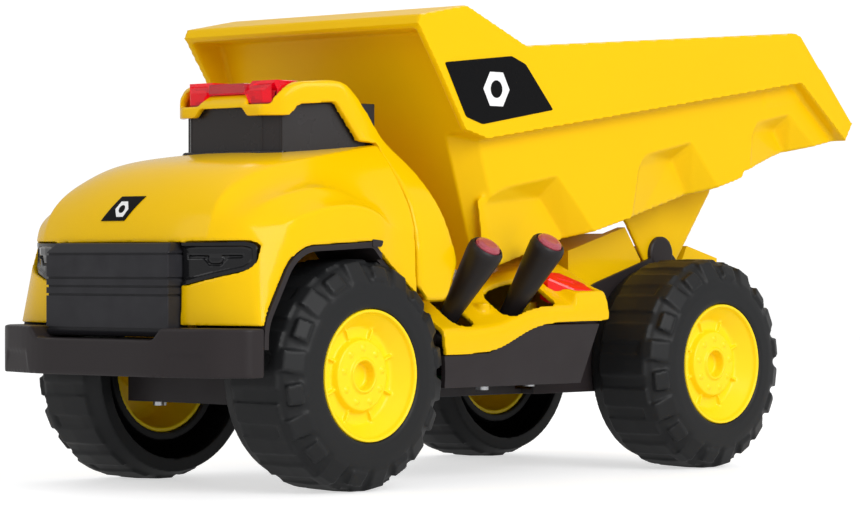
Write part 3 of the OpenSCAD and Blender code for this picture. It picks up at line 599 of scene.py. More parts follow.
def makeRim():
    s = rimSizes
    lip = s["lip"]
    body = turned("rim", [(-9.8, 0), (-9.6, 5.9), (-5.2, 6.1), (-4.3, 6.5), (-4.2, s["collar"]), (-5.5, 7.9),
                          (-5.6, s["disc"] - 0.3), (-6.2, s["disc"] + 0.1), (-9.2, s["disc"] + 0.8), (-9.6, 20.6),
                          (-9.1, 21.3), (-2.4, 26.6), (-1, 26.9), (-0.3, 27.4), (-0.2, 28), (-0.7, lip),
                          (-s["depth"], lip), (-s["depth"], lip - 2), (-14, 24), (-12.5, 20), (-12.5, 8), (-40, 8),
                          (-40, 0)], 120)
    bolt = turned("bolt", [(-4.7, 0), (-4.7, 0.85), (-5, 1.15), (-6.4, 1.15), (-6.4, 0)], 14)
    moved(bolt, (0, 0, s["boltRing"]))
    repeat(bolt, s["bolts"], turn=(360 / s["bolts"], 0, 0))
    rib = slab("rib", rounded([(-9.9, 16.4), (-7.4, 16.6), (-7.2, 20.2), (-7.9, 21.6), (-9.9, 21.4)], 0.5, 3),
               -0.6, 0.6, "y")
    rib.data.transform(Matrix.Rotation(math.radians(22), 4, "X"))
    repeat(rib, s["ribs"], turn=(360 / s["ribs"], 0, 0))
    return shadeSmooth(mould(join(body, bolt, rib), 0.55, 3, 0.5))


def placeWheels():
    tyre, rim = makeTyre(), makeRim()
    for end, body in (("front", "front_wheels"), ("rear", "rear_wheels")):
        for side, sign in (("left", 1), ("right", -1)):
            low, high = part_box(f"{end}_tyre_{side}")
            centre = (low + high) / 2
            face = high.x if sign > 0 else low.x
            for part, source, finish, slotName in (("tyre", tyre, tyreBlack, "tyre_black"),
                                                   ("rim", rim, rimYellow, "rim_yellow")):
                name = f"{end}{side.title()}{part.title()}"
                piece = addObject(name, source.data.copy()) if sign > 0 else flipped(source, name)
                piece.data.transform(Matrix.Translation((face, centre.y, centre.z)))
                if sign < 0:
                    shadeSmooth(piece)
                wear(piece, finish, body, slotName, f"{end}_{part}_{side}")
    bpy.data.objects.remove(tyre)
    bpy.data.objects.remove(rim)


placeWheels()
print("wheels made")


bed = {"half": 68, "depth": 8.2, "wall": 3, "skin": 1.0, "nut": 7.6}
# each pocket: top front, top rear and bottom rear corners on the outside, then top rear and bottom rear of its floor
pockets = [
    {"front": [(-51.9, 123.1), (-35.7, 132.5)], "rear": [(1.7, 138.7), (29.6, 112.2)],
     "floor": [(-2.3, 128.2), (15.5, 109)], "low": (-47, 92)},
    {"front": [(60.5, 142.6), (65, 149.6)], "rear": [(101, 156.7), (121.2, 136.3)],
     "floor": [(94.5, 148), (105.7, 131.5)], "low": (54, 112)},
    {"front": [(148.7, 161), (152.2, 167.9)], "rear": [(179, 172.6), (200.7, 157)],
     "floor": [(175.6, 164.6), (184.5, 153)], "low": (147, 145)},
]


def pocketTool(name, pocket, grow):
    # wedge that is deepest at its rear end; grow makes the bump that it leaves inside the bed
    half, depth = bed["half"], bed["depth"]
    (a, b), (c, d), (e, f), low = pocket["front"], pocket["rear"], pocket["floor"], pocket["low"]
    under = (d[0] + (d[0] - c[0]) * 0.35, d[1] + (d[1] - c[1]) * 0.35)
    underFloor = (f[0] + (f[0] - e[0]) * 0.35, f[1] + (f[1] - e[1]) * 0.35)
    outside = [low, a, b, c, under]
    inside = [low, a, (a[0] + 1.5, a[1] + 1.2), e, underFloor]
    depths = [0.4, 0.4, 1.2, depth, depth]
    if grow:
        outside = [(y, z + grow) for y, z in outside]
        inside = [(y, z + grow) for y, z in inside]
        base = [(half - 1.5, y, z) for y, z in outside]
        tip = [(half - t - grow, y + grow * 0.4, z) for (y, z), t in zip(inside, depths)]
    else:
        base = [(half + 0.4, y, z) for y, z in outside]
        tip = [(half - t, y, z) for (y, z), t in zip(inside, depths)]
    return lofted(name, base, tip)


def makeBed():
    shell = cadCopy("bed_shell", "bedShell")
    underside = [(-60, 60), (-60, 97), (-44, 95.4), (52, 118.9), (116.5, 133.7), (140, 140), (142.5, 143.4),
                 (172, 151.4), (202, 157.6), (240, 163), (240, 60)]
    for number, pocket in enumerate(pockets):
        bump = both(f"bump{number}", lambda name: pocketTool(name, pocket, bed["wall"]))
        cut(bump, slab("trim", underside, -90, 90, "x"))
        shell = unite(shell, bump)
    for number, pocket in enumerate(pockets):
        cut(shell, both(f"pocket{number}", lambda name: pocketTool(name, pocket, 0)))
    # backing behind the thin corner where the band meets the rear ledge
    unite(shell, both("rearCorner", lambda name: slab(name, [(158, 176), (190, 180), (190, 191), (158, 188)],
                                                      65, 68.4, "x")))
    mould(shell, bed["skin"], 3, 0.5)
    return wear(shadeSmooth(shell), bedYellow, "dump_bed", "yellow_plastic", "bed_shell")


def makeBedLabels():
    for side, sign in (("left", 1), ("right", -1)):
        low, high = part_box(f"bed_badge_{side}")
        outline = rounded([(-83, 186.6), (-38.6, 191.3), (-29, 188), (-10, 168), (-58, 160), (-69, 163)], 1.2, 4)
        plate = slab(f"bedLabel{side.title()}", outline, low.x / mm, high.x / mm, "x")
        rounding(plate, 0.1, 2)
        finish = label(f"bedLabelPrint{side.title()}", (75, -49, 176), (90, 0, 90), bed["nut"])
        wear(shadeSmooth(plate), finish, "dump_bed", "label_black", f"bed_badge_{side}")


makeBed()
makeBedLabels()
print("dump bed made")


# nose, bonnet and fenders are one smooth cage
hood = {"wall": 2.6, "skin": 0.85, "half": 77, "foot": 72}
# bonnet and fender tops, from the nose to the cab: centre, middle, inner edge, bonnet crease, hollow, fender ridge,
# hollow, fender edge
topRows = [
    [(0, -209, 108.6), (22, -209, 108.6), (40, -207.8, 108.6), (52, -205, 109), (58, -202.4, 109),
     (62.5, -199.6, 108.8), (67, -196.4, 108.2), (70.5, -193, 106)],
    [(0, -206.8, 120), (22, -206.4, 119.8), (41, -204.2, 119.6), (52, -201.6, 121), (57, -199.6, 117.8),
     (64, -197.6, 116), (68, -194.4, 113), (72, -189.6, 109.4)],
    [(0, -199.5, 131.4), (22, -198.8, 131.2), (42, -195.4, 130.4), (50.5, -192.6, 129.6), (56.5, -190.6, 123.4),
     (65, -189, 121.2), (69.5, -187.4, 117), (74.3, -184.4, 112.8)],
    [(0, -187, 140.3), (23, -186.5, 139.7), (43, -183.5, 137.4), (50.5, -181, 134.8), (57, -180, 128.2),
     (66, -179, 125.8), (71, -178, 120.6), (76, -176, 116.8)],
    [(0, -171, 144.3), (24, -171, 143.8), (44, -170, 141.8), (50.5, -169, 138.8), (58, -168, 131.4),
     (66.5, -166, 128.8), (72, -165.4, 123.2), (76.8, -164.5, 120.4)],
    [(0, -155, 146), (24, -155, 145.6), (44, -155, 144), (51, -155, 141.6), (59.5, -154, 133.4), (67.5, -152, 131.2),
     (72.6, -151, 125), (77.2, -150, 122.9)],
    [(0, -139, 147.6), (24, -139, 147.2), (44.5, -139, 145.8), (51, -139, 144.2), (60.5, -138, 134),
     (69, -136.5, 127.6), (73.2, -136.2, 124.4), (77.3, -136, 123)],
    [(0, -124, 149), (24, -124, 148.6), (45, -124, 147.6), (51, -124, 146.6), (61, -124, 135.6), (70, -124, 123.6),
     (73.6, -123.6, 120.8), (77, -123.4, 118.4)],
    [(0, -113, 150), (24, -113, 149.8), (45.5, -113, 149.2), (51.2, -113, 148.2), (60, -114.4, 139.4),
     (69.4, -116.4, 124), (72.8, -117, 117.6), (74.8, -117.4, 112.4)],
    [(0, -101.5, 151), (24, -101.5, 150.9), (46, -101.5, 150.6), (52, -101.5, 149.9), (60.5, -101.5, 141.8),
     (69, -101.5, 127.6), (72.8, -101.5, 120), (74.6, -101.5, 112)],
]
frontSpread = [0, 0, 0.6, 2, 3.4, 4.6, 5.8, 7.2]
creases = {"nose": 0.45, "bonnet": 0.75, "ridge": 0.7, "fender": 0.75}


def sidePoint(row, level):
    # the side falls straight from the fender's edge to its foot
    x, y, z = topRows[row][-1]
    heights = [0, 0.3, 0.65, 1]
    outs = [hood["half"] + 0.2, hood["half"], hood["half"]]
    if row < 3:
        outs = [x + (hood["half"] + 0.6 - x) * share for share in (0.4, 0.75, 1)]
    elif row >= 8:
        outs = [75.2, 76, 76.4]
    return (outs[level - 1], y, z + (hood["foot"] - z) * heights[level])


def makeHoodShell():
    shape = bmesh.new()
    crease = shape.edges.layers.float.new("crease_edge")
    points = {}

    def vertex(key, place):
        if key not in points:
            points[key] = shape.verts.new(Vector(place) * mm)
        return points[key]

    columns = len(topRows[0])
    for sign in (1, -1):
        def top(row, column):
            x, y, z = topRows[row][column]
            side = 0 if column == 0 else sign
            return vertex(("top", row, column, side), (x * sign, y, z))

        def front(level, column):
            # levels go down from the bonnet's edge
            if level == 0:
                return top(0, column)
            x, y, z = topRows[0][column]
            drop = (z - hood["foot"]) * (0, 0.35, 0.7, 1)[level]
            wide = frontSpread[column] * (0, 0.35, 0.7, 1)[level]
            side = 0 if column == 0 else sign
            return vertex(("front", level, column, side), ((x + wide) * sign, y - 0.2 * level - wide * 0.4, z - drop))

        def flank(row, level):
            if level == 0:
                return top(row, columns - 1)
            if row == 0:
                return front(level, columns - 1)
            x, y, z = sidePoint(row, level)
            return vertex(("side", row, level, sign), (x * sign, y, z))

        def patch(corners, tags):
            face = shape.faces.new(corners if sign > 0 else list(reversed(corners)))
            for a, b, value in tags:
                edge = shape.edges.get((a, b))
                if edge:
                    edge[crease] = max(edge[crease], value)

        for column in range(columns - 1):
            for level in range(3):
                a, b = front(level, column), front(level, column + 1)
                patch([a, front(level + 1, column), front(level + 1, column + 1), b],
                      [(a, b, creases["nose"])] if level == 0 else [])
            for row in range(len(topRows) - 1):
                a, b, c, d = top(row, column), top(row, column + 1), top(row + 1, column + 1), top(row + 1, column)
                tags = []
                if column == 3:
                    tags.append((a, d, creases["bonnet"]))
                if column == 5 and 1 < row < 8:
                    tags.append((a, d, creases["ridge"]))
                patch([a, b, c, d], tags)
        for row in range(len(topRows) - 1):
            for level in range(3):
                a, b = flank(row, level), flank(row, level + 1)
                c, d = flank(row + 1, level + 1), flank(row + 1, level)
                patch([a, b, c, d], [(a, d, creases["fender"])] if level == 0 and row > 1 else [])
    bmesh.ops.recalc_face_normals(shape, faces=shape.faces)
    shell = fromShape("cabFront", shape)
    smooth = shell.modifiers.new("smooth", "SUBSURF")
    smooth.levels = smooth.render_levels = 3
    thick = shell.modifiers.new("thick", "SOLIDIFY")
    thick.thickness, thick.offset = hood["wall"] * mm, -1
    return bake(shell)


archOutline = rounded([(-196.5, 40), (-195.6, 73), (-180.4, 99.4), (-171, 105.4), (-130, 107.6), (-126, 103.6),
                       (-97, 81), (-88, 40)], [1, 6, 8, 6, 2, 4, 6, 1], 6)
lampOutline = [(39.2, 107.1), (67.8, 107.5), (70.9, 106), (70.7, 97.2), (67, 94.5), (39.2, 88.1)]
windowPlan = [(46.6, -60), (46.6, -97), (45.6, -108.5), (29.8, -139.4), (23, -144.6)]


def makeHood():
    shell = makeHoodShell()
    cut(shell, both("archTool", lambda name: slab(name, archOutline, 38, 90, "x")))
    cut(shell, both("lampTool", lambda name: slab(name, rounded(lampOutline, 3, 4), -240, -176, "y")))
    cut(shell, slab("grilleTool", [(-39.4, 60), (39.4, 60), (39.4, 107), (-39.4, 107)], -240, -197, "y"))
    cut(shell, slab("windowTool", mirrored(windowPlan), 120, 200, "z"))
    mould(shell, hood["skin"], 1, 0.35)
    return wear(shadeSmooth(shell), bodyYellow, "chassis", "yellow_plastic", "cab_front_shell")


hoodShell = makeHood()
print("cab front made")


# roof, visor and rear pillars
roof = {"wall": 2.8, "skin": 0.9}
roofBase = [(-147.4, 140), (-148, 167.5), (-144, 171), (-136, 177.6), (-117.5, 178.8), (-111, 175), (-104, 166),
            (-94, 150.5), (-87, 141), (-80, 118), (-74.8, 98), (-82, 81.5), (-101.3, 81.5), (-101.3, 140)]
cabFrontOutline = [(77, 60), (76.5, 100), (74.6, 114), (70.5, 126), (62.5, 137), (54, 147), (50, 153), (46, 177),
                   (43, 182)]
roofPlan = [(80, -60), (80, -101.3), (54, -101.4), (49.5, -108), (46.5, -115), (33, -141.6), (25.2, -148)]


def makeRoof():
    shell = slab("cabRear", rounded(roofBase, [2, 3, 5, 7, 6, 6, 10, 10, 10, 10, 3, 3, 1, 1]), -90, 90, "x")
    combine(shell, slab("frontShape", rounded(mirrored(cabFrontOutline),
                                              [1, 8, 8, 8, 8, 8, 8, 10, 6] + [6, 10, 8, 8, 8, 8, 8, 8, 1]),
                                              -200, 0, "y"), "INTERSECT")
    combine(shell, slab("planShape", rounded(mirrored(roofPlan),
                                             [1, 1, 4, 8, 8, 2.5, 2.5] + [2.5, 2.5, 8, 8, 4, 1, 1]), 50, 200, "z"),
                                             "INTERSECT")
    mould(shell, 1.2, 8, 0)
    inner = slab("hollow", rounded([(-144.6, 120), (-144.6, 166.5), (-134.6, 174.2), (-118.6, 175.4), (-113.4, 172.4),
                                    (-106.6, 164), (-97, 149), (-90.2, 140), (-83, 117), (-78.2, 98.6), (-84.5, 70),
                                    (-110, 70), (-110, 120)], 5), -74, 74, "x")
    hollowFront = [(a - roof["wall"], b - roof["wall"]) for a, b in cabFrontOutline]
    combine(inner, slab("hollowFront", rounded(mirrored(hollowFront), 5), -200, 0, "y"), "INTERSECT")
    combine(inner, slab("hollowPlan", mirrored([(77, -60), (77, -104), (47, -104.5), (46, -109), (43.6, -114),
                                                (30.4, -139.6), (23.6, -145)]), 40, 200, "z"), "INTERSECT")
    cut(shell, inner)
    # room for the window moulding below the visor, then the openings themselves
    cut(shell, slab("windowRoom", mirrored([(46.4, -96.6), (45.4, -108.4), (29.7, -139.4), (22.9, -144.5)]),
                    100, 169.2, "z"))
    sideWindow = rounded([(-160, 120), (-160, 162.4), (-138.6, 162.6), (-134, 167.6), (-119.6, 168.8),
                          (-109.4, 151.4), (-101, 151), (-101, 120)], 0.8, 3)
    cut(shell, slab("sideOpening", sideWindow, -90, 90, "x"))
    cut(shell, slab("windshieldOpening", rounded([(-60, 140), (-60, 162.4), (-16.8, 162.4), (-13, 166.4), (13, 166.4),
                                                  (16.8, 162.4), (60, 162.4), (60, 140)], 0.8, 3), -160, -141, "y"))
    seat = slab("lightSeat", mirrored([(0, 172.4), (12.6, 172.4), (15.4, 167.7), (28.6, 167.7), (30.6, 174),
                                       (30, 190)]), -160, -128.2, "y")
    cut(shell, seat)
    cut(shell, moved(turned("wheelRoom", [(-95, 0), (-95, 52.5), (95, 52.5), (95, 0)], 64), wheelCentre))
    mould(shell, roof["skin"], 2, 0.4)
    return wear(shadeSmooth(shell), bodyYellow, "chassis", "yellow_plastic", "cab_rear_shell")


makeRoof()
print("cab rear made")


pane = {"foot": 132, "top": 168.6, "outline": [(46, -97), (45, -108.5), (29.3, -139), (22.6, -144)]}


def makeWindows():
    body = slab("windows", mirrored(pane["outline"]), pane["foot"], pane["top"], "z")
    core = slab("core", mirrored([(44, -90), (43, -109), (27.7, -137.6), (21.8, -141.8)]), 120, 180, "z")
    cut(body, core)
    rounding(body, 0.5, 3, 25)
    # sill lip that stands out under the windshield
    lip = slab("sill", rounded(mirrored([(22, -138), (31.6, -137.6), (32.4, -140.4), (24.4, -147.2)]), 1),
               144.8, 147.4, "z")
    rounding(lip, 0.8, 2, 40)
    join(body, lip)
    # raised bars between the panes
    for sign in (1, -1):
        for x, y in pane["outline"][:1:-1]:
            bar = slab("paneBar", [(sign * (x + 0.5), y - 0.1), (sign * (x - 0.1), y - 0.45),
                                   (sign * (x - 0.6), y + 0.4), (sign * (x + 0.3), y + 0.6)], 146, 167, "z")
            join(body, bar)
    return wear(shadeSmooth(body), windowBlack, "chassis", "window_black", "window_insert")


makeWindows()
print("windows made")


bar = {"rear": -128.4, "bridge": 11.6}
barOutline = [(0, 172.6), (12.6, 172.6), (15.4, 168), (27, 168), (29.8, 174.2), (29, 178.4)]
barPlan = [(29, -128), (29.8, -134), (28.4, -139.6), (22.8, -144.6)]


def makeLightBar():
    lens = slab("lightBarLens", rounded(mirrored(barOutline), 0.9, 3), -160, bar["rear"], "y")
    combine(lens, slab("lensPlan", rounded(mirrored(barPlan), 1, 3), 150, 200, "z"), "INTERSECT")
    # both lobes slope back at the front, and the bridge between them is lower
    cut(lens, slab("slope", [(-160, 173.4), (-143.6, 173.8), (-139.4, 179.4), (-160, 186)], -60, 60, "x"))
    cut(lens, slab("bridgeTop", rounded([(-15, 190), (-12.4, 177), (12.4, 177), (15, 190)], 0.8, 3), -160, -120, "y"))
    cut(lens, slab("bridgeFront", [(-12, 160), (12, 160), (12, 190), (-12, 190)], -160, -143.6, "y"))
    cut(lens, slab("hollow", mirrored([(0, 166), (15.6, 166), (18, 160), (26, 160), (28, 174), (27.2, 176.8),
                                       (15, 176.8), (13, 175.4)]), -141.6, bar["rear"] - 1.4, "y"))
    rounding(lens, 0.35, 2, 25)
    half = bar["bridge"]
    smoked = slab("lightBarBridge", rounded([(-half, 173.2), (half, 173.2), (half - 0.4, 177.3), (0.4 - half, 177.3)],
                                            0.6, 3), -143.9, bar["rear"] + 0.1, "y")
    rounding(smoked, 0.4, 2, 30)
    wear(shadeSmooth(smoked), smokedPink, "chassis", "red_clear")
    # ribbed reflectors that show through the lobes
    rib = slab("lightBarReflectors", [(16.4, 170), (25.6, 170), (27, 173.6), (16, 173.6)], -140.8, -139.8, "y")
    repeat(rib, 5, step=(0, 1.9, 0), finish=buttonRed)
    join(rib, flipped(rib, "otherRibs"))
    wear(shadeSmooth(rib), starChrome, "chassis", "red_clear")
    return wear(shadeSmooth(lens), clearRed, "chassis", "red_clear", "light_bar_lens")


makeLightBar()
print("light bar made")


grille = {"half": 39, "front": -215, "rear": -203, "top": 106.8, "foot": 67, "groove": 1.0, "grooveDepth": 0.9}
grooveHeights = [70.2, 84.6, 88.2, 91.8, 102]


def makeGrille():
    g = grille
    profile = [(g["rear"], g["foot"]), (-213.6, g["foot"]), (g["front"], 69), (g["front"], 102.4), (-211.2, g["top"]),
               (g["rear"], g["top"])]
    body = slab("grille", profile, -g["half"], g["half"], "x")
    # the top band is bevelled at both ends too
    for sign in (1, -1):
        corner = [(sign * (g["half"] + 1), 101.8), (sign * (g["half"] + 1), 110), (sign * (g["half"] - 5), 110)]
        cut(body, slab("corner", corner, -230, -190, "y"))
    rounding(body, 0.7, 3, 30)
    for height in grooveHeights:
        low, high = height - g["groove"] / 2, height + g["groove"] / 2
        belt = slab("belt", [(-50, -230), (50, -230), (50, -190), (-50, -190)], low, high, "z")
        inner = g["half"] - g["grooveDepth"]
        cut(belt, slab("beltInside", [(-inner, g["front"] + g["grooveDepth"]), (inner, g["front"] + g["grooveDepth"]),
                                      (inner, -180), (-inner, -180)], low - 1, high + 1, "z"))
        cut(body, belt)
    cut(body, slab("grilleHollow", [(-36.4, -212), (36.4, -212), (36.4, -195), (-36.4, -195)], 69.5, 104, "z"))
    rounding(body, 0.22, 2, 35)
    return wear(shadeSmooth(body, 30), grillePlastic, "chassis", "dark_plastic", "grille")


lampPlan = [(38, -208.6), (46, -207), (54, -204.2), (61, -200.9), (66, -197.4), (70, -193.4), (73, -189), (75, -184),
            (76.6, -178)]


def onPlan(x, depth):
    # point of the lamp's face at x across, pushed in by depth
    for (a, b), (c, d) in zip(lampPlan, lampPlan[1:]):
        if x <= c or c == lampPlan[-1][0]:
            t = (x - a) / (c - a)
            away = Vector((d - b, a - c)).normalized()
            return a + (c - a) * t - away.x * depth, b + (d - b) * t - away.y * depth


def makeHeadlights():
    outline = rounded([(39.7, 106.8), (67.6, 107.2), (70.6, 105.8), (70.4, 97.4), (66.8, 94.8), (39.7, 88.4)],
                      [0.5, 1.5, 1.5, 2, 2, 0.5], 4)
    inner = rounded([(39, 105.2), (66.8, 105.4), (68.9, 104.4), (68.7, 98.6), (66, 96.6), (39, 90.2)],
                    [0, 1.5, 1.5, 1.5, 2, 0], 4)
    lamp = slab("headlight", outline, 0, 4.5, "y")
    cut(lamp, slab("recess", inner, -3, 1.1, "y"))
    # slit with a hexagonal drop in its middle
    slit = [(42.5, 100), (50, 100), (52.4, 97), (57.6, 97), (60, 100), (66, 100.2), (66, 101.5), (42.5, 101.3)]
    cut(lamp, slab("slit", slit, 0, 2.4, "y"))
    unite(lamp, slab("reflector", [(53, 98), (57, 98), (58.6, 99.9), (57.2, 101), (52.8, 101), (51.4, 99.9)],
                     1.4, 3.6, "y"))
    mould(lamp, 0.42, 2, 0)
    for vertex in lamp.data.vertices:
        x, depth, z = vertex.co / mm
        x, y = onPlan(x, depth + 0.35)
        vertex.co = Vector((x, y, z)) * mm
    shape = bmesh.new()
    shape.from_mesh(lamp.data)
    bmesh.ops.recalc_face_normals(shape, faces=shape.faces)
    bmesh.ops.dissolve_limit(shape, angle_limit=math.radians(0.4), verts=shape.verts, edges=shape.edges)
    shape.to_mesh(lamp.data)
    shape.free()
    other = flipped(lamp, "headlightRight")
    lamp.name = "headlightLeft"
    wear(shadeSmooth(lamp), lampBlack, "chassis", "gloss_black", "headlight_left")
    wear(shadeSmooth(other), lampBlack, "chassis", "gloss_black", "headlight_right")


bumper = {"foot": 50.4, "top": 71}
bumperPlan = [(60, -189), (60, -195), (78, -195), (78, -204), (66, -216), (40, -223)]


def makeBumper():
    body = slab("frontBumper", rounded(mirrored(bumperPlan), [1, 1, 3, 3, 6, 14] + [14, 6, 3, 3, 1, 1], 6),
                bumper["foot"], bumper["top"], "z")
    # dip under the grille, with slanted ends
    cut(body, slab("dip", [(-36.8, 66), (36.8, 66), (45.6, 75), (-45.6, 75)], -240, -180, "y"))
    cut(body, slab("behind", mirrored([(57, -180), (57, -198), (72, -198), (73, -203), (63, -213), (38, -219.5)]),
                   0, 63, "z"))
    for sign in (1, -1):
        # shallow panel low on each slanted face
        panel = [(45, 60.4), (62.5, 60.4), (66.5, 48), (41.5, 48)]
        near = [(sign * x, -226.3 + (x - 40) * 0.27, z) for x, z in panel]
        far = [(sign * x, -222.2 + (x - 40) * 0.27, z) for x, z in panel]
        cut(body, lofted("panel", near, far))
        unite(body, slab("stay", [(sign * 24 - 5, -221), (sign * 24 + 5, -221), (sign * 24 + 5, -168.2),
                                  (sign * 24 - 5, -168.2)], 52, 60, "z"))
    rounding(body, 0.5, 2, 50)
    mould(body, 0.8, 4, 0.4)
    return wear(shadeSmooth(body), charcoalPlastic, "chassis", "dark_plastic", "front_bumper")


makeGrille()
makeHeadlights()
makeBumper()
print("grille, headlights and bumper made")


badgeSizes = {"columns": 10, "rows": 8, "lift": 0.12, "thick": 0.3, "nut": 3.6}


def makeHoodBadge(hoodShell):
    # grid laid on the nose along Y, then given its thickness
    outline = [(-11.5, 116.2), (3.4, 116.2), (11.5, 126.6), (-3.4, 126.6)]
    shape = bmesh.new()
    columns, rows = badgeSizes["columns"], badgeSizes["rows"]
    grid = []
    for r in range(rows + 1):
        v = r / rows
        left = Vector(outline[0]).lerp(Vector(outline[3]), v)
        right = Vector(outline[1]).lerp(Vector(outline[2]), v)
        spots = [left.lerp(right, c / columns) for c in range(columns + 1)]
        grid.append([shape.verts.new(Vector((p.x, -230, p.y)) * mm) for p in spots])
    for r in range(rows):
        for c in range(columns):
            shape.faces.new((grid[r][c], grid[r][c + 1], grid[r + 1][c + 1], grid[r + 1][c]))
    badge = fromShape("hoodLabel", shape)
    lay = badge.modifiers.new("lay", "SHRINKWRAP")
    lay.target, lay.offset = hoodShell, badgeSizes["lift"] * mm
    lay.wrap_method, lay.wrap_mode = "PROJECT", "ON_SURFACE"
    lay.use_project_y, lay.use_negative_direction, lay.use_positive_direction = True, False, True
    thick = badge.modifiers.new("thick", "SOLIDIFY")
    thick.thickness, thick.offset = badgeSizes["thick"] * mm, 1
    bake(badge)
    finish = label("hoodLabelPrint", (0, -206, 121.4), (75, 0, 0), badgeSizes["nut"])
    return wear(shadeSmooth(badge), finish, "chassis", "label_black", "hood_badge")


arch = {"gap": 0.3, "wall": 2.6}


def nearer(outline, centre, distance):
    # outline moved towards a centre
    middle = Vector(centre)
    return [tuple(Vector(p) + (middle - Vector(p)).normalized() * distance) for p in outline]


def makeLiners():
    axle = wheelCentre[1:]
    skin = slab("archLiner", nearer(archOutline, axle, arch["gap"]), 39.5, 77.2, "x")
    liner = cut(skin, slab("under", nearer(archOutline, axle, arch["gap"] + arch["wall"]), 30, 90, "x"))
    cut(liner, slab("below", [(-260, 0), (0, 0), (0, 62), (-260, 62)], 30, 90, "x"))
    # the lip ends in a small nub at the top of the arch; behind it the liner stands back
    cut(liner, slab("setBack", [(-128, 40), (-60, 40), (-60, 130), (-123.6, 130)], 74, 90, "x"))
    unite(liner, slab("nub", rounded([(-131, 108.4), (-124.4, 107.8), (-125.4, 105.2), (-131, 105)], 0.8, 3),
                      74.2, 77.6, "x"))
    rounding(liner, 0.5, 2, 40)
    other = flipped(liner, "archLinerRight")
    liner.name = "archLinerLeft"
    wear(shadeSmooth(liner), charcoalPlastic, "chassis", "dark_plastic", "fender_liner_left")
    wear(shadeSmooth(other), charcoalPlastic, "chassis", "dark_plastic", "fender_liner_right")


makeHoodBadge(hoodShell)
makeLiners()
print("nose badge and arch liners made")


deck = {"half": 76.6, "wall": 2.3, "skin": 0.85, "height": 86.2, "slope": 0.138}
# along the truck: y, lower edge, shoulder
deckRows = [(-90, 57.4, 68.2), (-78, 57.5, 68.4), (-66, 57.7, 68.7), (-54, 58.4, 69.1), (-46, 60.2, 70.2),
            (-37, 63.9, 72.9), (-28, 67.5, 75.9), (-19, 69.9, 77.6), (-10, 70.7, 78), (-2, 71, 77.9),
            (4.2, 71.1, 77.8)]
raisedRows = [(7.4, 71.2, 84.4), (16, 71.3, 84.8), (24, 71.4, 85.2), (28, 71.5, 84.8)]


def middleHeight(y):
    return deck["height"] + (y + 72) * deck["slope"]


def deckColumns():
    rows = []
    half = deck["half"]
    for y, low, s in deckRows:
        top = middleHeight(y)
        row = [(half, low), (half + 0.2, (low + s) / 2), (half, s - 1.1), (half - 2, s + 1.1), (67, s + 5.4),
               (57, s + 12.4), (50, s + 17), (43, s + 20.5), (40.5, top), (0, top)]
        rows.append([(x, y, min(z, top)) for x, z in row])
    for y, low, s in raisedRows:
        top = middleHeight(y)
        row = [(half - 0.1, low), (half + 0.1, low + 4), (half - 0.4, s - 4.5), (half - 2.4, s), (67, s + 2.2),
               (57, s + 6.6), (50, s + 10.5), (43, s + 13.5), (40.5, top), (0, top)]
        rows.append([(x, y + (0 if x > 60 else 2), min(z, top)) for x, z in row])
    end = rows[-1]
    rows.append([(x - (0.4 if x > 60 else 0), y + 0.8, 71.8) for x, y, z in end])
    return rows


button = {"x": 63.5, "y": 13, "lean": 30,
          "outline": [(-8, -9.5), (-2.4, -10.5), (6.6, -2), (8.5, 9.5), (2.8, 10.5), (-6.6, 2)]}


def buttonRing(grow):
    return [(button["x"] + x * grow, button["y"] + y * grow) for x, y in button["outline"]]


